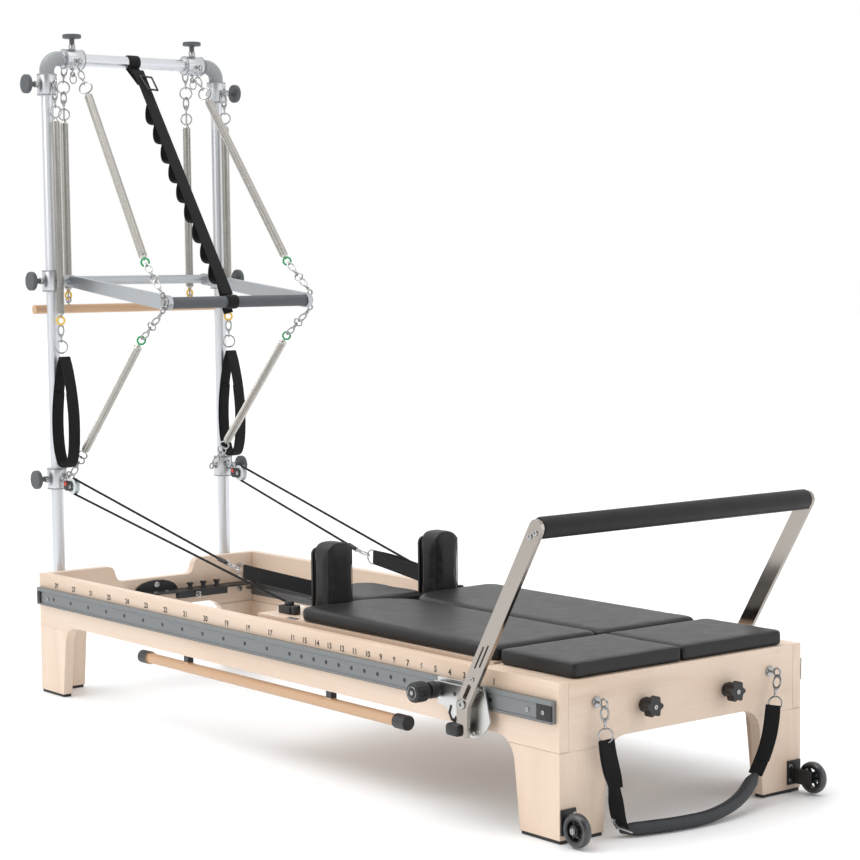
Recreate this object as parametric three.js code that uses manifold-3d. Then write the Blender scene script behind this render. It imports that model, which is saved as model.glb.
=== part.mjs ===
// A wooden pilates reformer with a half-trapeze tower at its head end.
// Millimetres, +Z up. +X is the foot (footbar) end, -X the head (tower) end, near is -Y, far is +Y.
import * as THREE from "three";
import { mergeVertices } from "three/addons/utils/BufferGeometryUtils.js";
import Module from "manifold-3d";

const wasm = await Module();
wasm.setup();

const GAP = 0.3;
const NEAR = -1;
const FAR = 1;

const FRAME = { half: 1200, wide: 400, top: 370, board: 28, under: 222, joint: 208, arch: 225 };
const LEG = { board: 30, arcStart: 985, arcRadius: 60, archHalf: 197, archRadius: 58, foot: 8 };
const RAIL = { out: 415, half: 1190, low: 277, high: 329, inner: 345, shelf: 256 };
const PLATFORM = { start: 925, end: 1193, wide: 350, top: 406, deck: 352 };
const CARRIAGE = { head: -85, foot: 905, wide: 342, top: 371.7, deck: 353 };
const PADS = { start: 90, end: 912, wide: 342, top: 408, corner: 135 };
const HEADREST = { start: -190, end: 85, wide: 115, top: 405 };
const SHOULDER = { back: 6, front: 88, inner: 138, outer: 230, top: 568, pegX: 50, pegY: 184 };
const ROLLER = { radius: 19.7, height: 276, places: [60, 850] };
const SPRINGS = { count: 5, pitch: 120, start: 506, end: 954, radius: 12, height: 301 };
const PIVOT = { x: 916, z: 286 };
const ARM = { inner: 440, outer: 450, reachX: 262, reachZ: 436, wide: 42, tail: 78 };
const GRIP = { radius: 25 };
const LOCK = { x: 800, z: 303, start: 427.5, step: 465, end: 508, small: 20, large: 24 };
const STAR = { y: 137, z: 287, collar: 17, lobe: 26 };
const WHEEL = { x: 1250, z: 42, radius: 40, inner: 380, outer: 404, axle: 5 };
const POLE = { y: -386, z: 187, start: -610, end: 625, radius: 15, cap: 19, capLong: 38 };
const TOWER = { x: -1238, y: 308, top: 1948, tube: 19, collar: 30, collarHalf: 32, bend: 40, foot: 150 };
const COLLARS = { low: 655, mid: 1268, high: 1867, topBar: 218 };
const KNOB = { stem: 8, disc: 29, start: 372, end: 386 };
const PUSH = { x: -665, z: 1203, half: 260, tube: 14, grip: 17, arm: 240, armThick: 15, tall: 30 };
const ROLL = { x: -1288, z: 1180, half: 345, radius: 14 };
const PULLEY = { x: -1134, z: 638, radius: 25, groove: 19, half: 8 };
const ROPE = { radius: 3.5, endX: -28, endY: 278, endZ: 398, gripX: -422, gripY: 230, gripZ: 469 };

const MAPLE = ["#e3c7a6", 0.55, 0];
const BEECH = ["#d9b084", 0.55, 0];
const PAD = ["#232427", 0.5, 0];
const WEB = ["#15161a", 0.85, 0];
const PLASTIC = ["#1a1b1d", 0.5, 0];
const CHROME = ["#d5d6d8", 0.12, 1];
const ALLOY = ["#b9bcc0", 0.38, 1];
const RAIL_GREY = ["#7b8287", 0.5, 0.6];
const STEEL = ["#c4bfb4", 0.3, 1];
const KNOB_GREY = ["#55595e", 0.6, 0];
const SLEEVE = ["#565b61", 0.7, 0];
const TYRE = ["#4a4d52", 0.4, 0];

// ---------- shapes ----------

// Sorted span between two distances on one side of the middle.
function span(side, a, b) {
  return side > 0 ? [a, b] : [-b, -a];
}

function block([x0, x1], [y0, y1], [z0, z1]) {
  const made = new THREE.BoxGeometry(x1 - x0, y1 - y0, z1 - z0);
  return made.translate((x0 + x1) / 2, (y0 + y1) / 2, (z0 + z1) / 2);
}

function shapeOf(points) {
  return new THREE.Shape(points.map(([a, b]) => new THREE.Vector2(a, b)));
}

function extruded(shape, depth) {
  return new THREE.ExtrudeGeometry(shape, { depth, bevelEnabled: false, curveSegments: 8 });
}

// A board cut to an outline seen from the side, filling a span across the frame.
function sideBoard(shape, [y0, y1]) {
  const turn = new THREE.Matrix4().makeBasis(
    new THREE.Vector3(1, 0, 0),
    new THREE.Vector3(0, 0, 1),
    new THREE.Vector3(0, -1, 0),
  );
  return extruded(shape, y1 - y0).applyMatrix4(turn).translate(0, y1, 0);
}

// A board cut to an outline seen from the end, filling a span along the frame.
function endBoard(shape, [x0, x1]) {
  const turn = new THREE.Matrix4().makeBasis(
    new THREE.Vector3(0, 1, 0),
    new THREE.Vector3(0, 0, 1),
    new THREE.Vector3(1, 0, 0),
  );
  return extruded(shape, x1 - x0).applyMatrix4(turn).translate(x0, 0, 0);
}

function flatBoard(shape, [z0, z1]) {
  return extruded(shape, z1 - z0).translate(0, 0, z0);
}

function rod(axis, [a, b], radius, [p, q], sides = 16) {
  const made = new THREE.CylinderGeometry(radius, radius, b - a, sides);
  const mid = (a + b) / 2;
  if (axis === "x") return made.rotateZ(-Math.PI / 2).translate(mid, p, q);
  if (axis === "y") return made.translate(p, mid, q);
  return made.rotateX(Math.PI / 2).translate(p, q, mid);
}

// Points of an arc about a centre, both ends included.
function arc([cx, cy], radius, from, to, steps) {
  return Array.from({ length: steps + 1 }, (_, i) => {
    const angle = THREE.MathUtils.degToRad(from + ((to - from) * i) / steps);
    return [cx + radius * Math.cos(angle), cy + radius * Math.sin(angle)];
  });
}

// Outline of a rectangle whose corners have their own radii, counter-clockwise from low-low.
function rounded([x0, x1], [y0, y1], [r0, r1, r2, r3], steps = 5) {
  return [
    ...arc([x0 + r0, y0 + r0], r0, 180, 270, steps),
    ...arc([x1 - r1, y0 + r1], r1, 270, 360, steps),
    ...arc([x1 - r2, y1 - r2], r2, 0, 90, steps),
    ...arc([x0 + r3, y1 - r3], r3, 90, 180, steps),
  ];
}

// A closed skin over rings of points that all turn the same way about the path.
function loft(rings) {
  const count = rings[0].length;
  const faces = [];
  for (let i = 0; i + 1 < rings.length; i++)
    for (let j = 0; j < count; j++) {
      const next = (j + 1) % count;
      const [a, b] = [i * count + j, i * count + next];
      faces.push(a, b, b + count, a, b + count, a + count);
    }
  const last = (rings.length - 1) * count;
  for (let j = 1; j + 1 < count; j++) {
    faces.push(0, j + 1, j);
    faces.push(last, last + j, last + j + 1);
  }
  const made = new THREE.BufferGeometry();
  made.setAttribute("position", new THREE.Float32BufferAttribute(rings.flat(2), 3));
  made.setIndex(faces);
  return made.toNonIndexed();
}

function headings(points) {
  return points.map((_, i) => {
    const before = points[Math.max(i - 1, 0)];
    const after = points[Math.min(i + 1, points.length - 1)];
    return after.clone().sub(before).normalize();
  });
}

// A round body through stations of [x, y, z, radius]; `guide` is never along the path.
function strung(stations, sides = 8, guide = [0, 1, 0]) {
  const points = stations.map(([x, y, z]) => new THREE.Vector3(x, y, z));
  const along = headings(points);
  const rings = points.map((centre, i) => {
    const u = new THREE.Vector3(...guide).cross(along[i]).normalize();
    const v = along[i].clone().cross(u);
    return Array.from({ length: sides }, (_, j) => {
      const angle = (2 * Math.PI * j) / sides;
      const out = u.clone().multiplyScalar(Math.cos(angle)).addScaledVector(v, Math.sin(angle));
      return centre.clone().addScaledVector(out, stations[i][3]).toArray();
    });
  });
  return loft(rings);
}

// A flat band through points; `across` is the direction of its width.
function band(places, across, width, thick) {
  const points = places.map((p) => new THREE.Vector3(...p));
  const along = headings(points);
  const rings = points.map((centre, i) => {
    const v = along[i].clone().cross(new THREE.Vector3(...across)).normalize();
    const u = v.clone().cross(along[i]).normalize();
    const corner = (a, b) =>
      centre.clone().addScaledVector(u, (a * width) / 2).addScaledVector(v, (b * thick) / 2).toArray();
    return [corner(-1, -1), corner(1, -1), corner(1, 1), corner(-1, 1)];
  });
  return loft(rings);
}

function solidOf(geometry) {
  const bare = new THREE.BufferGeometry();
  bare.setAttribute("position", geometry.getAttribute("position"));
  if (geometry.index) bare.setIndex(geometry.index);
  const merged = mergeVertices(bare, 1e-3);
  return new wasm.Manifold(
    new wasm.Mesh({
      numProp: 3,
      vertProperties: new Float32Array(merged.getAttribute("position").array),
      triVerts: new Uint32Array(merged.index.array),
    }),
  );
}

function geometryOf(made) {
  const mesh = made.getMesh();
  const geometry = new THREE.BufferGeometry();
  geometry.setAttribute("position", new THREE.Float32BufferAttribute(mesh.vertProperties, 3));
  geometry.setIndex(new THREE.Uint32BufferAttribute(mesh.triVerts, 1));
  return geometry;
}

function joined(first, ...others) {
  return geometryOf(others.reduce((sum, g) => sum.add(solidOf(g)), solidOf(first)));
}

function bored(body, ...tools) {
  return geometryOf(tools.reduce((rest, g) => rest.subtract(solidOf(g)), solidOf(body)));
}

const reformer = new THREE.Group();
reformer.name = "pilates_reformer";

function add(name, geometry, [color, roughness, metalness]) {
  if (!geometry.getAttribute("normal")) geometry.computeVertexNormals();
  const material = new THREE.MeshStandardMaterial({ color, roughness, metalness, flatShading: true });
  const mesh = new THREE.Mesh(geometry, material);
  mesh.name = name;
  reformer.add(mesh);
}

function bothSides(name, make, material) {
  add(`${name}_near`, make(NEAR), material);
  add(`${name}_far`, make(FAR), material);
}

// ---------- wooden frame ----------

// The curve where a long board runs down into a leg, from the board's underside to the joint.
function legCurve(from, to, steps) {
  return arc([LEG.arcStart, FRAME.under - LEG.arcRadius], LEG.arcRadius, from, to, steps);
}

function archCurve(from, to, steps) {
  return arc([LEG.archHalf, FRAME.arch - LEG.archRadius], LEG.archRadius, from, to, steps);
}

const mirrored = (points) => points.map(([a, b]) => [-a, b]).reverse();

function sidePanel(side) {
  const lip = FRAME.joint + GAP;
  const right = [
    ...legCurve(90, 50.5, 3),
    [FRAME.half, lip],
    [FRAME.half, FRAME.top],
  ].map(([x, z]) => [x, Math.max(z, lip)]);
  return sideBoard(shapeOf([...right, ...mirrored(right)]), span(side, FRAME.wide - FRAME.board, FRAME.wide));
}

// Lower edge of an end board, left to right, with the arch between the legs.
function archEdge() {
  const lip = FRAME.joint + GAP;
  const edge = FRAME.wide - FRAME.board - GAP;
  const right = [...archCurve(90, 45, 3).map(([y, z]) => [y, Math.max(z, lip)]), [edge, lip]];
  return [...mirrored(right), ...right];
}

function footEndBoard() {
  const edge = FRAME.wide - FRAME.board - GAP;
  const outline = [...archEdge(), [edge, FRAME.top], [-edge, FRAME.top]];
  const board = endBoard(shapeOf(outline), [FRAME.half - FRAME.board, FRAME.half]);
  const deck = block([PLATFORM.start, FRAME.half - 1], [-edge, edge], [PLATFORM.deck, FRAME.top]);
  return joined(board, deck);
}

// The head board is cut down in the middle so that the headrest can pass over it.
function headEndBoard() {
  const edge = FRAME.wide - FRAME.board - GAP;
  const dip = [
    [edge, FRAME.top],
    [168, FRAME.top],
    [156, 366],
    [148, 356],
    [143, 338],
    [136, 326],
    [122, 320],
  ];
  const outline = [...archEdge(), ...dip, ...mirrored(dip)];
  return endBoard(shapeOf(outline), [-FRAME.half, -FRAME.half + FRAME.board]);
}

// Two boards that meet in a corner, on a rubber foot.
function leg(end, side) {
  const top = FRAME.joint;
  const sideEdge = legCurve(50.05, 7, 3);
  const endEdge = archCurve(45, 4, 3);
  const sideOutline = [...sideEdge, [1064, LEG.foot], [FRAME.half, LEG.foot], [FRAME.half, top]];
  const endOutline = [...endEdge, [266, LEG.foot], [FRAME.wide, LEG.foot], [FRAME.wide, top]];
  const capped = (points) => points.map(([a, z]) => [a, Math.min(z, top)]);
  const facing = (points, way) => shapeOf(points.map(([a, z]) => [a * way, z]));
  const outer = span(side, FRAME.wide - LEG.board, FRAME.wide);
  const ends = span(end, FRAME.half - LEG.board, FRAME.half);
  return joined(
    sideBoard(facing(capped(sideOutline), end), outer),
    endBoard(facing(capped(endOutline), side), ends),
    block(span(end, 1067, FRAME.half - 2), span(side, 372, FRAME.wide - 2), [0, LEG.foot + 1]),
    block(span(end, 1172, FRAME.half - 2), span(side, 269, FRAME.wide - 2), [0, LEG.foot + 1]),
  );
}

function outerRail(side) {
  const inside = FRAME.wide + GAP;
  const { out, low, high, half } = RAIL;
  const web = out - 4;
  const profile = [
    [inside, low], [out, low], [out, low + 4], [web, low + 5],
    [web, high - 13], [out, high - 11], [out, high], [inside, high],
  ];
  return endBoard(shapeOf(profile.map(([y, z]) => [y * side, z])), [-half, half]);
}

// An angle section whose shelf carries the carriage rollers.
function innerRail(side) {
  const outside = FRAME.wide - FRAME.board - GAP;
  const profile = [
    [outside, 230], [outside, 275], [366, 275], [366, RAIL.shelf],
    [RAIL.inner, RAIL.shelf], [RAIL.inner, RAIL.shelf - 6], [366, RAIL.shelf - 6], [366, 230],
  ];
  const reach = FRAME.half - FRAME.board - GAP;
  return endBoard(shapeOf(profile.map(([y, z]) => [y * side, z])), [-reach, reach]);
}

bothSides("side_panel", sidePanel, MAPLE);
add("foot_end_board", footEndBoard(), MAPLE);
add("head_end_board", headEndBoard(), MAPLE);
bothSides("leg_foot", (side) => leg(1, side), MAPLE);
bothSides("leg_head", (side) => leg(-1, side), MAPLE);
bothSides("outer_rail", outerRail, RAIL_GREY);
bothSides("inner_rail", innerRail, RAIL_GREY);

// ---------- fittings on the frame ----------

function platformPad() {
  const corners = [14, 14, 14, 14];
  const outline = rounded([PLATFORM.start, PLATFORM.end], [-PLATFORM.wide, PLATFORM.wide], corners, 3);
  return flatBoard(shapeOf(outline), [FRAME.top + GAP, PLATFORM.top]);
}

// Shelf across the inside of the head board, with a rounded upright plate and three cord pegs.
function headBracket() {
  const wall = -FRAME.half + FRAME.board + GAP;
  const upright = [[-80, 276], [80, 276], ...arc([0, 280], 78, 10, 170, 8).map(([y, z]) => [y, 280 + (z - 280) * 0.42])];
  const pegs = [107, 157, 208].map((y) => rod("z", [272, 293], 7, [-1136, y], 10));
  return joined(
    block([wall, -1112], [-110, 345], [272, 277]),
    endBoard(shapeOf(upright), [wall, wall + 6]),
    block([-1130, -1112], [48, 235], [253, 273]),
    ...pegs,
  );
}

// Cross bar that anchors the springs, standing on the inner rails.
function springBar() {
  const feet = [NEAR, FAR].map((side) => block([958, 978], span(side, 348, 365.5), [RAIL.shelf + GAP, 290]));
  return joined(block([958, 978], [-365.5, 365.5], [286, 316]), ...feet);
}

// Exercise pole stored under the near side in two clips.
function woodPole() {
  const { y, z, start, end } = POLE;
  const clip = (x) => block([x - 11, x + 11], [y - 9, y + 9], [z, FRAME.under - GAP]);
  return joined(
    rod("x", [start, end], POLE.radius, [y, z], 16),
    rod("x", [start - 6, start + POLE.capLong], POLE.cap, [y, z], 16),
    rod("x", [end - POLE.capLong, end + 6], POLE.cap, [y, z], 16),
    clip(-370),
    clip(310),
  );
}

function wheelBracket(side) {
  const { x, z, axle, outer } = WHEEL;
  return joined(
    block([FRAME.half + GAP, FRAME.half + 4], span(side, 352, 398), [20, 80]),
    block([FRAME.half + 2, x + 14], span(side, 369, 373), [z - 18, z + 20]),
    rod("y", span(side, 371, outer + 3), axle, [x, z], 12),
  );
}

function transportWheel(side) {
  const { radius, inner, outer, axle, x, z } = WHEEL;
  const half = (outer - inner) / 2;
  const outline = [
    [axle + 0.5, -half], [26, -half], [27, -half + 3], [34, -half + 2], [radius - 1.5, -half + 6],
    [radius, 0], [radius - 1.5, half - 6], [34, half - 2], [27, half - 3], [26, half],
    [axle + 0.5, half], [axle + 0.5, -half],
  ];
  const wheel = new THREE.LatheGeometry(outline.map(([r, h]) => new THREE.Vector2(r, h)), 24);
  return wheel.translate(x, (side * (inner + outer)) / 2, z);
}

function starKnob(side) {
  const face = FRAME.half + GAP;
  const lobes = Array.from({ length: 36 }, (_, i) => {
    const angle = (i * Math.PI) / 18;
    const reach = STAR.lobe * (0.86 + 0.14 * Math.cos(6 * angle));
    return [side * STAR.y + reach * Math.cos(angle), STAR.z + reach * Math.sin(angle)];
  });
  return joined(
    rod("x", [face, face + 18], STAR.collar, [side * STAR.y, STAR.z], 16),
    endBoard(shapeOf(lobes), [face + 17, face + 40]),
  );
}

add("platform_pad", platformPad(), PAD);
add("head_bracket", headBracket(), PLASTIC);
add("spring_bar", springBar(), STEEL);
add("wood_pole", woodPole(), BEECH);
bothSides("wheel_bracket", wheelBracket, PLASTIC);
bothSides("transport_wheel", transportWheel, TYRE);
bothSides("star_knob", starKnob, PLASTIC);

// Webbing that hangs from both eyebolts, with a padded tube that lies on the floor.
function footStrap() {
  const tube = [
    [1243, -250, 20, 13], [1262, -190, 17.5, 17], [1278, -120, 17, 17], [1285, -50, 17, 17],
    [1284, 20, 20, 17], [1274, 90, 33, 17], [1258, 150, 54, 17], [1246, 190, 76, 13],
  ];
  return joined(
    strung(tube, 8, [0, 0, 1]),
    band([[1236, -292, 238], [1238, -275, 150], [1241, -262, 70], [1243, -246, 20]], [1, 0, 0], 34, 5),
    band([[1236, 262, 246], [1238, 246, 178], [1244, 200, 92], [1246, 186, 74]], [1, 0, 0], 36, 7),
  );
}

add("foot_strap", footStrap(), WEB);

// ---------- carriage ----------

function carriageFrame() {
  const { head, foot, wide, top, deck } = CARRIAGE;
  const parts = [];
  for (const side of [NEAR, FAR]) {
    parts.push(block([head, foot], span(side, wide - 24, wide), [262, deck + 1]));
    for (const x of ROLLER.places)
      parts.push(rod("y", span(side, wide - 5, wide + 20), ROLLER.radius, [x, ROLLER.height], 16));
  }
  const across = [-wide + 20, wide - 20];
  parts.push(block([head, head + 25], across, [322, deck + 1]));
  parts.push(block([foot - 25, foot], across, [322, deck + 1]));
  parts.push(block([480, 500], across, [290, 312]));
  const body = joined(block([head, foot], [-wide, wide], [deck, top]), ...parts);
  const holes = [NEAR, FAR].map((side) =>
    rod("z", [deck - 5, top + 5], 8.8, [SHOULDER.pegX, side * SHOULDER.pegY], 12),
  );
  return bored(body, ...holes);
}

// Each half of the carriage pad curves away from the headrest at its inner head corner.
function carriagePad(side) {
  const outline = rounded([PADS.start, PADS.end], [GAP / 2, PADS.wide], [PADS.corner, 26, 26, 40], 5);
  const shape = shapeOf(outline.map(([x, y]) => [x, side * y]));
  return flatBoard(shape, [CARRIAGE.top + GAP, PADS.top]);
}

function headrest() {
  const outline = rounded(
    [HEADREST.start, HEADREST.end], [-HEADREST.wide, HEADREST.wide], [45, 30, 30, 45], 5,
  );
  return flatBoard(shapeOf(outline), [CARRIAGE.top + GAP, HEADREST.top]);
}

// A block with a rounded top on a backing plate; a peg below drops into the carriage.
function shoulderRest(side) {
  const { back, front, inner, outer, top, pegX, pegY } = SHOULDER;
  const base = CARRIAGE.top + GAP;
  const outline = rounded([inner, outer], [base, top], [2, 2, 34, 34], 5);
  const plate = rounded([inner + 6, outer - 6], [base, top - 26], [2, 2, 20, 20], 3);
  const facing = (points) => shapeOf(points.map(([y, z]) => [side * y, z]));
  return joined(
    endBoard(facing(outline), [back + 5, front]),
    endBoard(facing(plate), [back, back + 6]),
    rod("z", [322, base + 2], 8, [pegX, side * pegY], 12),
  );
}

// The row of springs under the carriage, with the bars that hook both ends.
function springSet() {
  const { count, pitch, start, end, radius, height } = SPRINGS;
  const reach = ((count - 1) / 2) * pitch;
  const coils = Array.from({ length: count }, (_, i) =>
    rod("x", [start, end], radius, [i * pitch - reach, height], 8),
  );
  const bars = [start, end].map((x) => rod("y", [-reach - 14, reach + 14], 3.5, [x, height], 6));
  return joined(...bars, ...coils);
}

add("carriage_frame", carriageFrame(), MAPLE);
bothSides("carriage_pad", carriagePad, PAD);
add("headrest", headrest(), PAD);
bothSides("shoulder_rest", shoulderRest, PAD);
add("carriage_spring_set", springSet(), STEEL);

// ---------- footbar ----------

// Slider that hooks under the outer rail, with a fan-shaped notched plate on its face.
function selectorPlate(side) {
  const { x, z } = PIVOT;
  const fan = [
    [785, 322], [970, 322], [978, 300], ...arc([x, z], 82, -25, -155, 12), [812, 276], [785, 284],
  ];
  const notches = [-62, -78, -94, -112, -128].map((degrees) => {
    const angle = THREE.MathUtils.degToRad(degrees);
    const [nx, nz] = [x + 72 * Math.cos(angle), z + 72 * Math.sin(angle)];
    return rod("y", span(side, 420, 430), 4.2, [nx, nz], 8);
  });
  const plate = bored(sideBoard(shapeOf(fan), span(side, 423, 427)), ...notches);
  return joined(
    plate,
    block([795, 965], span(side, RAIL.out + GAP, 424), [266, 333]),
    block([795, 965], span(side, 402, 420), [268, RAIL.low - GAP]),
  );
}

// Flat arm leaning toward the foot end, with a short tail below its pivot that carries a handle.
function footbarArm(side) {
  const { inner, outer, reachX, reachZ, wide, tail } = ARM;
  const { x, z } = PIVOT;
  const lean = THREE.MathUtils.radToDeg(Math.atan2(reachZ, reachX));
  const half = wide / 2;
  const upper = [
    ...arc([x, z], half, lean + 90, lean + 270, 6),
    ...arc([x + reachX, z + reachZ], half, lean - 90, lean + 90, 6),
  ];
  const lower = [...arc([x, z], half, 0, 180, 6), [x - 17, z - tail], [x + 17, z - tail]];
  const across = span(side, inner, outer);
  return joined(
    sideBoard(shapeOf(upper), across),
    sideBoard(shapeOf(lower), across),
    rod("y", span(side, 427 + GAP, inner + 1), 11, [x, z], 12),
    block([x - 44, x - 10], span(side, inner - 4, outer + 8), [z - tail + 2, z - tail + 26]),
  );
}

function lockKnob(side) {
  const { x, z, start, step, end, small, large } = LOCK;
  return joined(
    rod("y", span(side, start, step + 1), small, [x, z], 18),
    rod("y", span(side, step, end), large, [x, z], 18),
  );
}

const gripSpan = [-ARM.inner + GAP, ARM.inner - GAP];
bothSides("selector_plate", selectorPlate, CHROME);
bothSides("footbar_arm", footbarArm, CHROME);
add("footbar_grip", rod("y", gripSpan, GRIP.radius, [PIVOT.x + ARM.reachX, PIVOT.z + ARM.reachZ], 20), PAD);
bothSides("lock_knob", lockKnob, PLASTIC);

// ---------- tower ----------

// Fork that holds the rope sheave in front of the lowest collar.
function pulleyFork(side) {
  const { x, z, half } = PULLEY;
  const middle = side * TOWER.y;
  const outline = [...arc([x, z], 14, -100, 100, 6), [-1172, z + 12], [-1172, z - 4]];
  const cheek = (a, b) => sideBoard(shapeOf(outline), [middle + a, middle + b]);
  return [
    cheek(-half - 3, -half - 1),
    cheek(half + 1, half + 3),
    block([-1172, -1163], [middle - half - 3, middle + half + 3], [z - 4, z + 12]),
    block([-1212, -1168], [middle - 4, middle + 4], [z + 1, z + 9]),
    rod("y", [middle - half - 2, middle + half + 2], 4, [x, z], 10),
  ];
}

function collar(height, side) {
  const { x, y, collarHalf } = TOWER;
  return rod("z", [height - collarHalf, height + collarHalf], TOWER.collar, [x, side * y], 18);
}

function towerPost(side) {
  const { x, y, tube, foot } = TOWER;
  const top = COLLARS.high + TOWER.collarHalf;
  const socket = block([x - 24, -FRAME.half - GAP], span(side, y - 24, y + 24), [236, 344]);
  return joined(
    rod("z", [foot, top], tube, [x, side * y], 18),
    socket,
    collar(COLLARS.low, side),
    collar(COLLARS.mid, side),
    collar(COLLARS.high, side),
    ...pulleyFork(side),
  );
}

// Cross tube with a cast elbow at each end and two collars.
function towerTopBar() {
  const { x, y, top, tube, bend, collarHalf } = TOWER;
  const cast = tube + 3;
  const base = COLLARS.high + collarHalf + GAP;
  const elbow = arc([y - bend, top - bend], bend, 0, 90, 6).map(([a, b]) => [x, a, b, cast]);
  const half = [[x, y, base, cast], ...elbow, [x, y - bend - 8, top, cast], [x, y - bend - 8.6, top, tube]];
  const other = half.map(([a, b, c, r]) => [a, -b, c, r]).reverse();
  const collars = [NEAR, FAR].map((side) =>
    rod("y", span(side, COLLARS.topBar - collarHalf, COLLARS.topBar + collarHalf), TOWER.collar, [x, top], 18),
  );
  return joined(strung([...half, ...other], 16, [1, 0, 0]), ...collars);
}

// A disc on a short stem that screws into a collar, along +Y or -Y.
function postKnob(height, side) {
  const at = [TOWER.x, height];
  const face = TOWER.y + TOWER.collar + GAP;
  return joined(
    rod("y", span(side, face, KNOB.start + 1), KNOB.stem, at, 10),
    rod("y", span(side, KNOB.start, KNOB.end), KNOB.disc, at, 20),
  );
}

function barKnob(side) {
  const at = [TOWER.x, side * COLLARS.topBar];
  const face = TOWER.top + TOWER.collar + GAP;
  const lift = KNOB.start - TOWER.y;
  return joined(
    rod("z", [face, TOWER.top + lift + 1], KNOB.stem, at, 10),
    rod("z", [TOWER.top + lift, TOWER.top + lift + 12], KNOB.disc, at, 20),
  );
}

bothSides("tower_post", towerPost, ALLOY);
add("tower_top_bar", towerTopBar(), ALLOY);
for (const level of ["low", "mid", "high"])
  bothSides(`collar_knob_${level}`, (side) => postKnob(COLLARS[level], side), KNOB_GREY);
bothSides("collar_knob_top", barKnob, KNOB_GREY);

// ---------- push-through bar, roll-down bar and springs ----------

// Two flat arms fixed to the tube that turns between the middle collars.
function pushBarFrame() {
  const { x, z, arm, armThick, tall, tube } = PUSH;
  const [ox, oz] = [TOWER.x, COLLARS.mid];
  const lean = THREE.MathUtils.radToDeg(Math.atan2(z - oz, x - ox));
  const outline = [
    ...arc([ox, oz], tall / 2 + 3, lean + 90, lean + 270, 6),
    ...arc([x, z], tall / 2 + 7, lean - 90, lean + 90, 6),
  ];
  const reach = TOWER.y - TOWER.collar - GAP;
  const body = joined(
    rod("y", [-reach, reach], tube, [ox, oz], 16),
    ...[NEAR, FAR].map((side) => sideBoard(shapeOf(outline), span(side, arm, arm + armThick))),
  );
  return bored(body, rod("y", [-PUSH.half - 5, PUSH.half + 5], PUSH.grip + GAP, [x, z], 20));
}

// A coil spring drawn as a plain round body, with thin hooks before and after.
function coil(from, to, radius, hookFrom, hookTo) {
  const start = new THREE.Vector3(...from);
  const way = new THREE.Vector3(...to).sub(start).normalize();
  const at = (d, r) => [...start.clone().addScaledVector(way, d).toArray(), r];
  const length = start.distanceTo(new THREE.Vector3(...to));
  return [at(0, 3), at(hookFrom, 3), at(hookFrom + 3, radius), at(length - hookTo - 3, radius), at(length - hookTo, 3)];
}

// Upper and lower springs that meet at the end of the push-through bar.
function pushBarSprings(side) {
  const y = (value) => side * value;
  const upper = coil([-1203, y(212), 1911], [-775, y(254), 1322], 12, 83, 30);
  const lower = coil([-794, y(261), 1092], [-1222, y(262), 664], 12, 30, 110);
  const bend = [[-702, y(267), 1252, 3], [-668, y(272), 1210, 3], [-704, y(268), 1168, 3]];
  return strung([...upper, ...bend, ...lower, [-1222, y(262), 664, 3]], 8, [0, 1, 0]);
}

// Spring that hangs at the front of a post and carries a webbing hand loop.
function armSprings(side) {
  const at = [-1190, side * TOWER.y];
  const outer = new THREE.Shape().absellipse(0, 0, 40, 170, 0, 2 * Math.PI);
  outer.holes.push(new THREE.Path().absellipse(0, 0, 36.5, 166.5, 0, 2 * Math.PI));
  const loop = new THREE.ExtrudeGeometry(outer, { depth: 30, bevelEnabled: false, curveSegments: 16 });
  loop.translate(0, 0, -15).rotateX(Math.PI / 2).rotateZ(side * 0.9).translate(at[0], at[1], 864);
  return joined(
    strung([[...at, 1032, 3], [...at, 1176, 3], [...at, 1179, 12], [...at, 1731, 12], [...at, 1734, 3], [...at, 1828, 3]]),
    loop,
  );
}

// Wooden bar behind the tower, hung from two springs.
function rollDownBar() {
  const { x, z, half, radius } = ROLL;
  const hung = [NEAR, FAR].map((side) => {
    const at = [x, side * 224];
    const stations = [[...at, z + 5, 3], [...at, 1247, 3], [...at, 1250, 12], [...at, 1731, 12], [...at, 1734, 3]];
    return strung([...stations, [...at, 1828, 3]]);
  });
  return joined(rod("y", [-half, half], radius, [x, z], 16), ...hung);
}

// Webbing with a row of loops, from the top bar down to the push-through bar.
function safetyStrap() {
  return band([[-1212, -5, 1938], [-1150, -8, 1851], [-682, -30, 1228]], [0, 1, 0], 42, 16);
}

add("push_bar_frame", pushBarFrame(), ALLOY);
add("push_bar_grip", rod("y", [-PUSH.half, PUSH.half], PUSH.grip, [PUSH.x, PUSH.z], 20), SLEEVE);
add("roll_down_bar", rollDownBar(), BEECH);
bothSides("push_bar_springs", pushBarSprings, STEEL);
bothSides("arm_springs", armSprings, STEEL);
add("safety_strap", safetyStrap(), WEB);

// ---------- pulleys and ropes ----------

function sheave(side) {
  const { x, z, radius, groove, half } = PULLEY;
  const outline = [
    [4.4, -half], [radius, -half], [radius, -half + 1.5], [groove, -4.3], [groove, 4.3],
    [radius, half - 1.5], [radius, half], [4.4, half], [4.4, -half],
  ];
  const wheel = new THREE.LatheGeometry(outline.map(([r, h]) => new THREE.Vector2(r, h)), 20);
  return wheel.translate(x, side * TOWER.y, z);
}

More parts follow.
